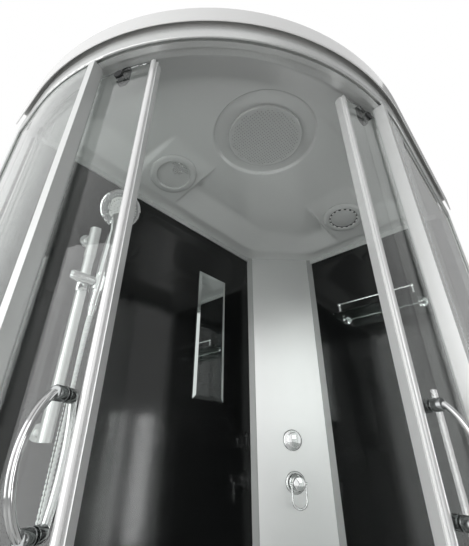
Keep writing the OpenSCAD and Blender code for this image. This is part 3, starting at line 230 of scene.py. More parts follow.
def between(tree, fac, low, high):
    """The middle of the noise's range, spread from one number to another."""
    ramp = tree.nodes.new("ShaderNodeMapRange")
    ramp.inputs["From Min"].default_value = NOISE_LOW
    ramp.inputs["From Max"].default_value = NOISE_HIGH
    ramp.inputs["To Min"].default_value = low
    ramp.inputs["To Max"].default_value = high
    tree.links.new(fac, ramp.inputs["Value"])
    return ramp.outputs["Result"]


def shades(tree, fac, dark, light):
    """Colours from dark to light over the same middle range."""
    ramp = tree.nodes.new("ShaderNodeValToRGB")
    ramp.color_ramp.elements[0].position = NOISE_LOW
    ramp.color_ramp.elements[1].position = NOISE_HIGH
    ramp.color_ramp.elements[0].color = (*dark, 1)
    ramp.color_ramp.elements[1].color = (*light, 1)
    tree.links.new(fac, ramp.inputs["Fac"])
    return ramp.outputs["Color"]


def finish(name, colour, rough, metal=0.0, vary=0.04, scale=6, grain=600, relief=0.02, coat=0.0,
           specular=0.5):
    """A finish of one colour that varies by a share, with its roughness and relief."""
    mat, tree, shader = new_tree(name)
    shader.inputs["Metallic"].default_value = metal
    shader.inputs["Coat Weight"].default_value = coat
    shader.inputs["Coat Roughness"].default_value = 0.08
    shader.inputs["Specular IOR Level"].default_value = specular
    broad = pattern(tree, scale)
    dark, light = ([c * k for c in colour] for k in (1 - vary, 1 + vary))
    tree.links.new(shades(tree, broad, dark, light), shader.inputs["Base Color"])
    fine = pattern(tree, grain)
    tree.links.new(between(tree, fine, rough * 0.85, rough * 1.15), shader.inputs["Roughness"])
    bump = tree.nodes.new("ShaderNodeBump")
    bump.inputs["Strength"].default_value = relief
    bump.inputs["Distance"].default_value = 0.001
    tree.links.new(fine, bump.inputs["Height"])
    tree.links.new(bump.outputs["Normal"], shader.inputs["Normal"])
    return mat


acrylic = finish("white_acrylic", (0.80, 0.80, 0.79), 0.16, vary=0.02, scale=5, grain=90, relief=0.015,
                 coat=0.5)
# Painted shade: the ceiling is the same white acrylic as the tray and the band, given a darker grey for the
# shade it lies in.
shaded_ceiling_acrylic = finish("shaded_ceiling_acrylic", (0.63, 0.635, 0.63), 0.13, vary=0.015, scale=4, grain=60,
                         relief=0.008, coat=0.3)
# Painted shade: the bezels are the ceiling's acrylic, given a still darker grey so that the rings read as dim
# as the ramps beside them.
shaded_bezel_acrylic = finish("shaded_bezel_acrylic", (0.54, 0.545, 0.54), 0.2, vary=0.015, scale=8, grain=60, relief=0.008)
drawn_metal = finish("drawn_aluminium", (0.76, 0.77, 0.76), 0.38, metal=0.3, vary=0.01, scale=12,
                     grain=1500, relief=0.004)
rail_metal = finish("rail_aluminium", (0.66, 0.67, 0.66), 0.3, metal=0.5, vary=0.01, scale=12, grain=1500,
                    relief=0.004)
trim_metal = finish("trim_aluminium", (0.44, 0.445, 0.44), 0.34, metal=0.4, vary=0.01, scale=12, grain=1500,
                    relief=0.004)
bright_profile = finish("bright_profile", (0.87, 0.875, 0.87), 0.22, metal=0.45, vary=0.01, scale=12,
                        grain=1200, relief=0.003)
column_satin = finish("satin_column", (0.86, 0.865, 0.86), 0.34, metal=0.85, vary=0.012, scale=3, grain=1800,
                      relief=0.004)
chrome = finish("chrome", (0.86, 0.87, 0.87), 0.05, metal=1, vary=0.01, scale=12, grain=900, relief=0.002)
bar_metal = finish("satin_bar", (0.88, 0.885, 0.88), 0.24, metal=0.6, vary=0.01, scale=12, grain=1500,
                   relief=0.003)
nozzle_rubber = finish("nozzle_rubber", (0.26, 0.265, 0.265), 0.5, vary=0.08, scale=80, grain=900,
                       relief=0.05)
satin_chrome = finish("satin_chrome", (0.74, 0.75, 0.75), 0.2, metal=1, vary=0.03, scale=20, grain=900,
                      relief=0.02)
handle_chrome = finish("handle_chrome", (0.58, 0.585, 0.585), 0.06, metal=1, vary=0.02, scale=20, grain=900,
                       relief=0.002)
dark_chrome = finish("dark_chrome", (0.26, 0.27, 0.27), 0.08, metal=1, vary=0.04, scale=20, grain=900,
                     relief=0.002)
black_panel = finish("black_glass_panel", (0.006, 0.0065, 0.0065), 0.1, vary=0.2, scale=3, grain=25,
                     relief=0.001, specular=0.45)
black_plastic = finish("black_nylon", (0.02, 0.021, 0.022), 0.42, vary=0.2, scale=60, grain=900, relief=0.06)
grey_plastic = finish("grey_plastic", (0.30, 0.31, 0.31), 0.4, vary=0.05, scale=30, grain=700, relief=0.05)
white_plastic = finish("white_plastic", (0.72, 0.72, 0.71), 0.35, vary=0.03, scale=30, grain=700, relief=0.04)
pale_seal = finish("pale_vinyl", (0.55, 0.57, 0.56), 0.3, vary=0.05, scale=40, grain=500, relief=0.03)
copper = finish("copper_pipe", (0.72, 0.38, 0.24), 0.32, metal=1, vary=0.18, scale=14, grain=300, relief=0.04)
zinc = finish("galvanised_steel", (0.50, 0.52, 0.53), 0.42, metal=0.9, vary=0.16, scale=45, grain=400,
              relief=0.08)
rough_back = finish("glass_fibre_back", (0.62, 0.61, 0.56), 0.6, vary=0.08, scale=25, grain=260, relief=0.5)
light_cover = finish("opal_lens", (0.52, 0.525, 0.52), 0.2, vary=0.02, scale=10, grain=200, relief=0.01)
insert_plastic = finish("insert_plastic", (0.53, 0.535, 0.53), 0.22, vary=0.02, scale=10, grain=200,
                        relief=0.02)

# %% [markdown]
# Glass is clear, bends light a little and has a faint green tint. A lamp's light would
# be stopped by such a shader, so a Light Path node lets shadow rays pass with nothing
# but that tint.

# %% Glass and mirror
def clear_glass(name, tint, smear):
    """Tinted glass whose roughness wanders from none to the smear."""
    mat, tree, shader = new_tree(name)
    shader.inputs["Transmission Weight"].default_value = 1
    shader.inputs["IOR"].default_value = 1.45
    hue = pattern(tree, 3)
    dark = [c * 0.985 for c in tint]
    tree.links.new(shades(tree, hue, dark, tint), shader.inputs["Base Color"])
    tree.links.new(between(tree, pattern(tree, 18, 4.0), 0.0, smear), shader.inputs["Roughness"])
    ray = tree.nodes.new("ShaderNodeLightPath")
    through = tree.nodes.new("ShaderNodeBsdfTransparent")
    through.inputs["Color"].default_value = (*tint, 1)
    choice = tree.nodes.new("ShaderNodeMixShader")
    tree.links.new(ray.outputs["Is Shadow Ray"], choice.inputs["Fac"])
    tree.links.new(shader.outputs["BSDF"], choice.inputs[1])
    tree.links.new(through.outputs["BSDF"], choice.inputs[2])
    tree.links.new(choice.outputs["Shader"], tree.nodes["Material Output"].inputs["Surface"])
    return mat


pane_glass = clear_glass("pane_glass", (0.93, 0.95, 0.94), 0.02)
shelf_green = clear_glass("shelf_glass", (0.80, 0.90, 0.86), 0.01)
mirror_silver = finish("mirror_silver", (0.70, 0.73, 0.72), 0.02, metal=1, vary=0.01, scale=4, grain=20,
                       relief=0.002)

# %% [markdown]
# ## The moulded ceiling
# The ceiling is one vacuum-formed acrylic sheet. A flat flange lies on the rails, a
# soft slope rises from it to the flat middle, two ramps carry the fan and the lamp,
# and a round step lies over the overhead shower. A sheet like this is a height above
# each point of the plan, so it starts as a spun disc of rings, close together at the
# round step. Every vertex is then drawn out along its own ray to the outline, and
# raised to the height of the mould.

# %% Plan of the ceiling, in millimetres
WALL_X, WALL_Y, GLASS_X, GLASS_Y = -400, 600, 400, -600
FRONT_R, FRONT_X, FRONT_Y = 660, -260, 60
COLUMN_S = 244
RAIN = Vector((69, -88))


def line_distances(x, y, at_glass, at_wall):
    """Distances of a point from the glass line and from both walls, each drawn in."""
    if y > FRONT_Y:
        glass = GLASS_X - x
    elif x < FRONT_X:
        glass = y - GLASS_Y
    else:
        glass = FRONT_R - math.hypot(x - FRONT_X, y - FRONT_Y)
    return glass - at_glass, x - WALL_X - at_wall, WALL_Y - at_wall - y


def rounded(a, b, cosine, r):
    """Distance from a rounded corner between two lines, or from the nearer line."""
    p, q = a - r, b - r
    s = -(p - cosine * q) / (1 - cosine ** 2)
    t = -(q - cosine * p) / (1 - cosine ** 2)
    if s > 0 and t > 0:
        return r - math.sqrt(s * s + t * t + 2 * s * t * cosine)
    return min(a, b)


COVE_GLASS, COVE_WALL, COVE_COLUMN = 70, 75, 63
BEND_COLUMN, BEND_GLASS = 180, 60


def cove_distance(x, y):
    """Distance in from the foot of the ceiling's slope."""
    glass, left, back = line_distances(x, y, COVE_GLASS, COVE_WALL)
    column = (x - WALL_X + WALL_Y - y - COLUMN_S) / math.sqrt(2) - COVE_COLUMN
    slant = math.sqrt(0.5)
    return min(
        rounded(left, column, slant, BEND_COLUMN), rounded(back, column, slant, BEND_COLUMN),
        rounded(glass, left, 0, BEND_GLASS), rounded(glass, back, 0, BEND_GLASS),
    )


# %% Height of the mould
def lower(a, b, r):
    """The lower of two heights, with the crease between them rounded."""
    h = max(r - abs(a - b), 0)
    return min(a, b) - h * h / (4 * r)


FLANGE_Z, RISE, SLOPE_W = 2060, 40, 82
PAD_HALF, PAD_SIDE = 85, 1.7
FAN_X, FAN_Y, FAN_LEN = -234, -182, 197
LAMP_X, LAMP_Y, LAMP_LEN = 76, 402, 255
STEP_R, STEP_W, STEP_H = 155, 9, 8
SOFT_TOP, SOFT_PAD = 9, 3


def ceiling_height(x, y):
    """Height of the mould over a point of the plan: slope, flat middle, both ramps and the round step."""
    rise = RISE * cove_distance(x, y) / SLOPE_W
    rise = lower(rise, RISE, SOFT_TOP)
    fan = RISE * (x - WALL_X - COVE_WALL) / FAN_LEN + PAD_SIDE * max(abs(y - FAN_Y) - PAD_HALF, 0)
    lamp = RISE * (WALL_Y - COVE_WALL - y) / LAMP_LEN + PAD_SIDE * max(abs(x - LAMP_X) - PAD_HALF, 0)
    rise = -lower(-lower(lower(rise, fan, SOFT_PAD), lamp, SOFT_PAD), 0, SOFT_PAD)
    step = min(max((STEP_R - math.hypot(x - RAIN.x, y - RAIN.y)) / STEP_W, 0), 1)
    return FLANGE_Z + rise + STEP_H * step * step * (3 - 2 * step)


# %% Spin the rings and draw them out
RAYS = 448
PIPE_HOLE = 8.5
INNER = [PIPE_HOLE, 40, 80, 110, 130, 140, 144] + [146 + 1.3 * i for i in range(8)] + [158, 162]
OUTER_STEPS = 76
SHEET_GLASS, SHEET_WALL = 18.3, 2


def reach(way):
    """Distance from the rain shower to the edge of the sheet, along one direction."""
    low, high = 0.0, 1200.0
    for _ in range(30):
        middle = (low + high) / 2
        inside = min(line_distances(*(RAIN + middle * way), SHEET_GLASS, SHEET_WALL)) > 0
        low, high = (middle, high) if inside else (low, middle)
    return low


bm = bmesh.new()
stations = len(INNER) + OUTER_STEPS
ends = [bm.verts.new((x, 0, 0)) for x in (1, stations)]
bmesh.ops.subdivide_edges(bm, edges=[bm.edges.new(ends)], cuts=stations - 2)
bmesh.ops.spin(bm, geom=bm.verts[:] + bm.edges[:], cent=(0, 0, 0), axis=(0, 0, 1), angle=math.tau,
               steps=RAYS, use_merge=True)
edge_of = {}
for v in bm.verts:
    i = round(v.co.xy.length) - 1
    way = v.co.xy.normalized()
    key = round(math.atan2(way.y, way.x), 4)
    edge_of.setdefault(key, reach(way))
    if i < len(INNER):
        out = INNER[i]
    else:
        out = INNER[-1] + (edge_of[key] - INNER[-1]) * (i - len(INNER) + 1) / OUTER_STEPS
    spot = RAIN + out * way
    v.co = (*spot, 0)
print("rays:", len(edge_of), "stations:", stations)

# %% Openings for the fan and the lamp, the heights and the rim along the walls
OPENING_R, NEAR_OPENING = 57, 4.5
NEAR_WALL, RIM_HEIGHT = 2.5, 56
for centre in (Vector((FAN_X, FAN_Y)), Vector((LAMP_X, LAMP_Y))):
    for v in bm.verts:
        off = v.co.xy - centre
        if abs(off.length - OPENING_R) < NEAR_OPENING:
            v.co.xy = centre + off.normalized() * OPENING_R
    inside = [f for f in bm.faces if (f.calc_center_median().xy - centre).length < OPENING_R - 1]
    bmesh.ops.delete(bm, geom=inside, context="FACES")
for v in bm.verts:
    v.co.z = ceiling_height(v.co.x, v.co.y)
bmesh.ops.recalc_face_normals(bm, faces=bm.faces)
if sum(f.normal.z for f in bm.faces) > 0:
    bmesh.ops.reverse_faces(bm, faces=bm.faces)


def at_wall(edge):
    """True for an edge of the sheet that lies along one of the two walls."""
    return edge.is_boundary and (all(v.co.x < WALL_X + NEAR_WALL for v in edge.verts)
                                 or all(v.co.y > WALL_Y - NEAR_WALL for v in edge.verts))


rim = bmesh.ops.extrude_edge_only(bm, edges=[e for e in bm.edges if at_wall(e)])["geom"]
bmesh.ops.translate(bm, vec=(0, 0, RIM_HEIGHT), verts=[v for v in rim if isinstance(v, bmesh.types.BMVert)])
bmesh.ops.scale(bm, vec=(MM, MM, MM), verts=bm.verts)
ceiling = link(bm, "moulded_ceiling")
for material in (shaded_ceiling_acrylic, rough_back):
    ceiling.data.materials.append(material)

# %% Thickness and the rough upper face, which takes the second material
wall = ceiling.modifiers.new("wall", "SOLIDIFY")
wall.thickness = 0.004
wall.offset = -1
wall.material_offset = 1
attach(ceiling, "frame")
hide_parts("roof_shell")

# %% [markdown]
# ## Softened solids
# An edge of a cast, moulded or drawn part is never perfectly sharp, and its small
# radius is what catches the light. A copy of the solid is merged, because its
# triangles are loose, and a Bevel modifier rounds only the edges that are sharp. The
# copy then stands for the solid. The copy of the fan's grille is also turned by half a
# turn about the fan's axis.

# %% Copy a solid and round its edges
def pad_lift(foot, length):
    """Height of a ramp of the ceiling, at a distance from its foot."""
    return FLANGE_Z + RISE * foot / length


fan_tilt = math.atan(RISE / FAN_LEN)
fan_axis = Vector((math.sin(fan_tilt), 0, -math.cos(fan_tilt)))
to_fan = Matrix.Translation(Vector((FAN_X, FAN_Y, pad_lift(FAN_X - WALL_X - COVE_WALL, FAN_LEN))) * MM)
# The grille's perforated quarter faces the front of the cabin in the picture
half_turn = to_fan @ Matrix.Rotation(math.pi, 4, fan_axis) @ to_fan.inverted()
body_of = {n: b for b, names in frame["record"]["behaviour"]["bodies"].items() for n in names}
RING_SHAPED = {"tray_apron", "roof_band", "tray_frame", "top_rail", "bottom_rail", "panel_rails"}
SHARP_EDGE = math.radians(32)


def soften(node, material, radius, place):
    """Makes a copy of a CAD node with rounded edges, turned by a matrix, that stands for the node.

    Its flat faces are joined, except on long rings, where a joined face would bridge the ring."""
    bm = bmesh.new()
    bm.from_mesh(nodes[node].data)
    bmesh.ops.remove_doubles(bm, verts=bm.verts, dist=0.00002)
    if node in RING_SHAPED:
        bmesh.ops.join_triangles(bm, faces=bm.faces, angle_face_threshold=math.radians(1),
                                 angle_shape_threshold=math.radians(60))
    else:
        bmesh.ops.dissolve_limit(bm, angle_limit=math.radians(0.5), verts=bm.verts, edges=bm.edges)
    for edge in bm.edges:
        edge.smooth = not (len(edge.link_faces) == 2 and edge.calc_face_angle() > SHARP_EDGE)
    bmesh.ops.transform(bm, matrix=place, verts=bm.verts)
    copy = link(bm, node + "_softened")
    rounding = copy.modifiers.new("rounded edges", "BEVEL")
    rounding.width = radius
    rounding.segments = 2
    rounding.limit_method = "ANGLE"
    rounding.angle_limit = SHARP_EDGE
    rounding.use_clamp_overlap = True
    rounding.harden_normals = True
    rounding.miter_outer = "MITER_ARC"
    copy.data.materials.append(material)
    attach(copy, body_of[node])
    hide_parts(node)


PLAIN = {
    "tray_feet": zinc, "drain_trap": grey_plastic, "drain_cover": chrome, "post_seals": pale_seal,
    "fixed_glass_left": pane_glass, "fixed_glass_right": pane_glass, "door_glass_left": pane_glass,
    "door_glass_right": pane_glass, "shelf_glass": shelf_green, "wall_mirror": mirror_silver,
    "water_pipes": copper, "fan_rotor": black_plastic, "fan_housing": black_plastic,
    "lamp_housing": white_plastic, "mixer_valve": satin_chrome,
}
for name, material in PLAIN.items():
    nodes[name].data.materials.clear()
    nodes[name].data.materials.append(material)

SOFTENED = {
    "tray": (acrylic, 0.004), "tray_apron": (acrylic, 0.002), "tray_frame": (zinc, 0.0006),
    "bottom_rail": (rail_metal, 0.0012), "top_rail": (rail_metal, 0.0012),
    "wall_posts": (drawn_metal, 0.0012), "door_posts": (drawn_metal, 0.0010),
    "wall_panel_left": (black_panel, 0.0006), "wall_panel_back": (black_panel, 0.0006),
    "panel_rails": (rail_metal, 0.0010), "column_panel": (column_satin, 0.0006),
    "column_trims": (trim_metal, 0.0008), "roof_band": (acrylic, 0.0015),
    "fan_bezel": (shaded_bezel_acrylic, 0.0010), "lamp_bezel": (shaded_bezel_acrylic, 0.0010),
    "fan_grille": (insert_plastic, 0.0003), "lamp_lens": (light_cover, 0.0006),
    "shelf_brackets": (chrome, 0.0006), "slide_bar": (bar_metal, 0.0006), "bar_ends": (bar_metal, 0.0010),
    "slider": (chrome, 0.0010), "shower_holder": (chrome, 0.0010), "hand_shower": (chrome, 0.0006),
    "hose_nut_upper": (chrome, 0.0005), "hose_nut_lower": (chrome, 0.0005), "hose_outlet": (chrome, 0.0008),
    "mixer_plate": (chrome, 0.0008), "mixer_cap": (chrome, 0.0010), "mixer_lever": (chrome, 0.0003),
    "diverter_plate": (chrome, 0.0008), "diverter_knob": (chrome, 0.0008),
}
for side in ("left", "right"):
    SOFTENED["door_edge_" + side] = (bright_profile, 0.0012)
    SOFTENED["door_hangers_" + side] = (black_plastic, 0.0008)
    SOFTENED["roller_%s_lead" % side] = SOFTENED["roller_%s_tail" % side] = (black_plastic, 0.0004)
for name, (material, radius) in SOFTENED.items():
    soften(name, material, radius, half_turn if name == "fan_grille" else Matrix())
print("softened solids:", len(SOFTENED), "plain solids:", len(PLAIN))

# %% [markdown]
# ## Pieces too fine for the solids
# The doors' handles are flat straps with fine ridges, bent to a bow. The overhead
# shower is a thin disc with a square grid of rubber nozzles. The lamp's chrome rim is
# drawn as a black ring with white dashes, a painted reflection, and the hand shower has a
# spray face. Each of these is made about its own axis with a few operators and then
# carried to its place by the matrix of what bears it. The gallery of the shelf, a rail
# on two collared posts, is made where it stands.

# %% Frames of the things that bear them, in metres
def turn(angle, axis):
    return Matrix.Rotation(math.radians(angle), 4, axis)


def shift(x, y, z):
    return Matrix.Translation((x * MM, y * MM, z * MM))


lamp_tilt = math.degrees(math.atan(RISE / LAMP_LEN))
lamp_z = pad_lift(WALL_Y - COVE_WALL - LAMP_Y, LAMP_LEN)
LAMP_FRAME = shift(LAMP_X, LAMP_Y, lamp_z) @ turn(180 - lamp_tilt, "X")
# The cradle and its lean come first, then the middle of the head on the hand shower
HEAD_FRAME = shift(-300, -318, 1650) @ turn(-3, "X") @ turn(-14, "Z") @ shift(10.5, 0, 236) @ turn(120, "Y")

# The doors' track: an arc with straight ends, in millimetres, and places along the arc in degrees
TRACK_R, TRACK_IN = 613, 47
MEET, LEAD, TAIL, DOOR = 51.2, 8.5, 4.5, 40
LEFT_TRAVEL, RIGHT_TRAVEL = 19.6, 20.4


def on_track(angle):
    """Point of the arc at an angle."""
    a = math.radians(angle)
    return Vector((FRONT_X + TRACK_R * math.sin(a), FRONT_Y - TRACK_R * math.cos(a)))


def door_frame(side, along, z):
    """Place on a door as it stands in the picture, at an angle from its leading edge. X is outwards."""
    lead0, tail0 = on_track(MEET + side * LEAD), on_track(MEET + side * (DOOR - TAIL))
    span = (tail0 - lead0).length
    if side > 0:
        lead1 = on_track(MEET + LEAD + RIGHT_TRAVEL)
        x = GLASS_X - TRACK_IN
        tail1 = Vector((x, lead1.y + math.sqrt(span ** 2 - (x - lead1.x) ** 2)))
    else:
        lead1 = on_track(MEET - LEAD - LEFT_TRAVEL)
        y = GLASS_Y + TRACK_IN
        tail1 = Vector((lead1.x - math.sqrt(span ** 2 - (y - lead1.y) ** 2), y))
    angle = (tail0 - lead0).angle_signed(tail1 - lead1)
    swing = Matrix.Rotation(-angle, 4, "Z")
    spot = on_track(MEET + side * along)
    start = swing @ Vector((*lead0, 0))
    home = shift(lead1.x - start.x, lead1.y - start.y, 0)
    return home @ swing @ shift(spot.x, spot.y, z) @ turn(MEET + side * along - 90, "Z")


# %% Helpers for turned pieces
def turned(bm, profile, steps):
    """Spins a profile of (radius, height) points round Z, in millimetres."""
    row = [bm.verts.new((r * MM, 0, z * MM)) for r, z in profile]
    edges = [bm.edges.new(pair) for pair in zip(row, row[1:])]
    bmesh.ops.spin(bm, geom=row + edges, cent=(0, 0, 0), axis=(0, 0, 1), angle=math.tau, steps=steps,
                   use_merge=True)
    bmesh.ops.remove_doubles(bm, verts=bm.verts, dist=0.000005)
    bmesh.ops.recalc_face_normals(bm, faces=bm.faces)


def absorb(bm, other):
    """Adds another bmesh to this one and frees it."""
    loose = bpy.data.meshes.new("loose")
    other.to_mesh(loose)
    bm.from_mesh(loose)
    other.free()


def paint(bm, count):
    """Leaves the first faces in the first material and gives the others the second."""
    for i, face in enumerate(bm.faces):
        face.material_index = 0 if i < count else 1


def settle(bm, name, matrix, body, materials, replaced=()):
    """Carries a bmesh to its place and makes a piece of it, with its edges above 30 degrees kept sharp."""
    bmesh.ops.transform(bm, matrix=matrix, verts=bm.verts)
    for edge in bm.edges:
        if len(edge.link_faces) == 2 and edge.calc_face_angle(0) > math.radians(30):
            edge.smooth = False
    piece = link(bm, name)
    for material in materials:
        piece.data.materials.append(material)
    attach(piece, body)
    if replaced:
        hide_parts(*replaced)


# %% Handles of the doors, in millimetres
PITCH, REACH_OUT, REACH_IN, START, HALF_GLASS = 134, 45, 23, 15, 2.5
HANDLE_ALONG, HANDLE_Z = 3.7, 1273
STRAP_THICK, STRAP_WIDE, RIDGES, RIDGE_H = 4.4, 5.4, 8, 0.45
BOW_STEPS, STRAP_SIDES = 40, 56


def strap_radius(i, angle):
    """A flat strap with a rounded, ridged outer face."""
    flat = 1 / math.sqrt((math.cos(angle) / STRAP_THICK) ** 2 + (math.sin(angle) / STRAP_WIDE) ** 2)
    ridge = RIDGE_H * math.cos(RIDGES * angle) if math.cos(angle) > 0.1 else 0
    return (flat + ridge) * MM


def bow_line(reach):
    """Arc of a bow, in the plane of X outwards and Z up."""
    chord, sag = PITCH / 2, reach - START
    r = (chord ** 2 + sag ** 2) / (2 * sag)
    half = math.asin(chord / r)
    angles = [half * (2 * k / BOW_STEPS - 1) for k in range(BOW_STEPS + 1)]
    return [Vector((HALF_GLASS + reach - r + r * math.cos(a), 0, r * math.sin(a))) * MM for a in angles]


for side, name in ((-1, "left"), (1, "right")):
    place = door_frame(side, HANDLE_ALONG, HANDLE_Z)
    bm = bmesh.new()
    for way, reach in ((1, REACH_OUT), (-1, REACH_IN)):
        strap = bmesh.new()
        carry_ring(strap, bow_line(reach), strap_radius, STRAP_SIDES)
        if way < 0:
            bmesh.ops.rotate(strap, cent=(0, 0, 0), matrix=turn(180, "Z"), verts=strap.verts)
        absorb(bm, strap)
    straps = len(bm.faces)
    for z in (-PITCH / 2, PITCH / 2):
        for flip in (90, -90):
            stud = bmesh.new()
            turned(stud, [(0, 19), (5.5, 18.8), (8, 17.8), (9, 16), (9, 4.6), (8.5, 4.2), (8.5, 3.4), (9, 3),
                          (9, 2.7), (0, 2.7)], 40)
            bmesh.ops.transform(stud, matrix=shift(0, 0, z) @ turn(flip, "Y"), verts=stud.verts)
            absorb(bm, stud)
    paint(bm, straps)
    settle(bm, "ridged_handle_" + name, place, body_of["door_handle_" + name], [handle_chrome, dark_chrome],
           ["door_handle_" + name])
    print("handle", name, [round(v, 4) for v in place.translation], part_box("door_handle_" + name))

# %% Nozzles and disc of the overhead shower
NOZZLE_PITCH, NOZZLE_REACH, NOZZLE_Z = 8, 97, 2092.7
bm = bmesh.new()
turned(bm, [(0, 2093.3), (100, 2093.3), (102, 2092.6), (106.5, 2092.6), (108, 2094), (108, 2101.5),
            (106, 2102), (22, 2102), (22, 2107.5), (0, 2107.5)], 96)
disc_faces = len(bm.faces)
for i in range(-12, 13):
    for j in range(-12, 13):
        if math.hypot(i, j) * NOZZLE_PITCH < NOZZLE_REACH:
            bmesh.ops.create_cone(
                bm, cap_ends=True, segments=6, radius1=1.0 * MM, radius2=1.5 * MM, depth=2.2 * MM,
                matrix=shift(NOZZLE_PITCH * i, NOZZLE_PITCH * j, NOZZLE_Z))
paint(bm, disc_faces)
settle(bm, "nozzle_disc", shift(RAIN.x, RAIN.y, 0), "frame", [insert_plastic, nozzle_rubber], ["rain_plate"])

# %% Painted reflection round the lamp: a black ring with white dashes
GLINT_COUNT, GLINT_R, RING_FACE = 16, 49.3, 6.4
GLINT_SIZE = 4.4 * MM, 10.5 * MM, 1.8 * MM
bm = bmesh.new()
turned(bm, [(46.5, RING_FACE), (49, RING_FACE), (51.6, 5.4), (51.6, 3.4), (46.5, 4.4), (46.5, RING_FACE)], 96)
ring_faces = len(bm.faces)
# The white dashes are painted highlights and the black ring is painted dark reflection, in place of the
# lamp's chrome rim.
for k in range(GLINT_COUNT):
    bmesh.ops.create_cube(bm, size=1, matrix=turn(360 * k / GLINT_COUNT, "Z") @ shift(GLINT_R, 0, RING_FACE)
                          @ Matrix.Diagonal((*GLINT_SIZE, 1)))
paint(bm, ring_faces)
settle(bm, "lamp_rim_painted_glints", LAMP_FRAME, "frame", [black_plastic, acrylic])

# %% Gallery of the shelf
low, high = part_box("shelf_gallery")
FOOT_R, RAIL_R = 6, 3
post_h = (high[2] - low[2]) / MM
rail_y, rail_z = (low[1] + high[1]) / 2, high[2] - RAIL_R * MM
post_x = low[0] + FOOT_R * MM, high[0] - FOOT_R * MM
bm = bmesh.new()
bmesh.ops.create_cone(bm, cap_ends=True, segments=24, radius1=RAIL_R * MM, radius2=RAIL_R * MM,
                      depth=post_x[1] - post_x[0],
                      matrix=Matrix.Translation((sum(post_x) / 2, rail_y, rail_z)) @ turn(90, "Y"))
for x in post_x:
    post = bmesh.new()
    turned(post, [(0, 0), (FOOT_R, 0), (FOOT_R, 2.4), (3.2, 3.2), (3.2, 9), (4.8, 10), (4.8, 12.5),
                  (3.2, 13.5), (3.2, 21), (5, 22), (6, 24.5), (6, 28.5), (5, post_h - 0.4), (0, post_h)], 32)
    bmesh.ops.translate(post, vec=(x, rail_y, low[2]), verts=post.verts)
    absorb(bm, post)
settle(bm, "collared_gallery", Matrix(), "frame", [chrome], ["shelf_gallery"])

# %% Spray face of the hand shower, with a dark band near its edge
BAND_INNER, BAND_OUTER = 34.5 * MM, 45.5 * MM
bm = bmesh.new()
turned(bm, [(0, 8.4), (33.5, 8.2), (34.5, 7.4), (36, 7.4), (37, 8.6), (45, 8.4), (46, 7.2), (0, 7.2)], 72)
for face in bm.faces:
    r = face.calc_center_median().xy.length
    face.material_index = 1 if BAND_INNER < r < BAND_OUTER else 0
for ring, count in ((9, 8), (18, 16), (27, 24), (41, 36)):
    before = set(bm.faces)
    for k in range(count):
        bmesh.ops.create_cone(
            bm, cap_ends=True, segments=6, radius1=1.5 * MM, radius2=1.0 * MM, depth=2.4 * MM,
            matrix=turn(360 * k / count, "Z") @ shift(ring, 0, 8.6))
    for face in set(bm.faces) - before:
        face.material_index = 0 if ring * MM > BAND_INNER else 1
settle(bm, "spray_face", HEAD_FRAME, body_of["hand_shower"], [white_plastic, nozzle_rubber])

# %% [markdown]
# ## Light and floor
# The cabin stands on a pale floor in a plain white studio. The world gives an even
# light, and is white where it is seen, mirrored or seen through glass. Tall soft lamps
# outside the glass show as the broad upright highlights in the black panels, and one
# more brightens the satin column. Grey cards at the right give panes and profiles
# something darker than the studio to mirror.

# %% World, lamps and floor
world = bpy.data.worlds.new("studio")
scene.world = world
world.use_nodes = True
tree = world.node_tree
for node in list(tree.nodes):
    tree.nodes.remove(node)
out = tree.nodes.new("ShaderNodeOutputWorld")
lit = tree.nodes.new("ShaderNodeBackground")
lit.inputs["Color"].default_value = (0.98, 0.99, 1.0, 1)
lit.inputs["Strength"].default_value = 0.6
seen = tree.nodes.new("ShaderNodeBackground")
seen.inputs["Color"].default_value = (1, 1, 1, 1)
seen.inputs["Strength"].default_value = 1.0
ray = tree.nodes.new("ShaderNodeLightPath")
mirrored = tree.nodes.new("ShaderNodeMath")
through = tree.nodes.new("ShaderNodeMath")
mirrored.operation = through.operation = "MAXIMUM"
choice = tree.nodes.new("ShaderNodeMixShader")
tree.links.new(ray.outputs["Is Camera Ray"], mirrored.inputs[0])
tree.links.new(ray.outputs["Is Glossy Ray"], mirrored.inputs[1])
tree.links.new(mirrored.outputs[0], through.inputs[0])
tree.links.new(ray.outputs["Is Transmission Ray"], through.inputs[1])
tree.links.new(through.outputs[0], choice.inputs["Fac"])
tree.links.new(lit.outputs[0], choice.inputs[1])
tree.links.new(seen.outputs[0], choice.inputs[2])
tree.links.new(choice.outputs[0], out.inputs["Surface"])


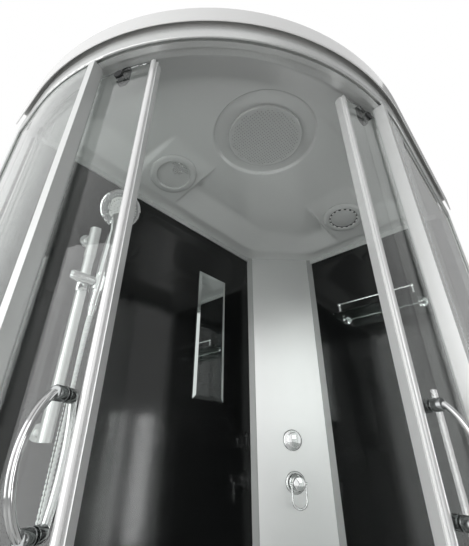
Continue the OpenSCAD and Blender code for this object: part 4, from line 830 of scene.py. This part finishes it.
def soft_lamp(name, place, target, width, height, radiance, spread=180):
    """An upright rectangle of light that faces a point. Power follows from its radiance, area and spread."""
    data = bpy.data.lights.new(name, "AREA")
    data.shape = "RECTANGLE"
    data.size, data.size_y = width, height
    half = math.radians(spread / 2)
    data.spread = 2 * half
    data.energy = radiance * math.pi * width * height * (1 - half / math.tan(half))
    lamp = bpy.data.objects.new(name, data)
    scene.collection.objects.link(lamp)
    lamp.location = place
    lamp.rotation_euler = (Vector(target) - Vector(place)).to_track_quat("-Z", "Y").to_euler()


# Two narrow lamps beside each other outside the right pane, and one large soft lamp before the doors
for at, width, radiance in ((0.985, 0.12, 4.8), (1.255, 0.14, 6.4)):
    soft_lamp("strip_lamp", (1.5, at, 1.14), (-0.38, -0.12, 1.2), width, 0.9, radiance)
soft_lamp("front_lamp", (-0.22, -2.0, 1.35), (-0.22, 0.6, 1.35), 2.03, 2.2, 1.6)
# A lamp behind the viewer's right shoulder, which the satin column mirrors softly
soft_lamp("column_lamp", (2.02, -1.0, 1.92), (-0.278, 0.478, 1.40), 0.9, 0.9, 1.8, spread=40)

# Two grey cards at the right of the cabin, for panes and profiles to mirror in place of the white studio
card_mat, _, card_shader = new_tree("grey_card")
card_shader.inputs["Base Color"].default_value = (0.02, 0.02, 0.02, 1)
card_shader.inputs["Emission Color"].default_value = (1, 1, 1, 1)
card_shader.inputs["Emission Strength"].default_value = 0.26
CARD_HEIGHT = 5.8


def grey_card(name, middle, width, angle):
    """An upright card, turned about Z, that only reflections and diffuse light can see."""
    upright = turn(angle, "Z") @ turn(90, "X") @ Matrix.Diagonal((width, CARD_HEIGHT, 1, 1))
    bm = bmesh.new()
    bmesh.ops.create_grid(bm, x_segments=1, y_segments=1, size=0.5,
                          matrix=Matrix.Translation(middle) @ upright)
    card = link(bm, name)
    card.data.materials.append(card_mat)
    card.visible_camera = card.visible_transmission = card.visible_shadow = False


grey_card("card_behind", (1.55, 2.7, 2.9), 2.3, 0)
grey_card("card_beside", (2.7, 0.6, 2.9), 4.2, 90)

floor_mesh = bmesh.new()
bmesh.ops.create_grid(floor_mesh, x_segments=2, y_segments=2, size=6)
floor = link(floor_mesh, "floor")
floor.data.materials.append(finish("pale_floor", (0.80, 0.80, 0.79), 0.6, vary=0.02, scale=2, grain=60))

# %% [markdown]
# ## View transform
# The picture is rendered with the Standard view transform.

# %% Standard view transform
scene.view_settings.view_transform = "Standard"
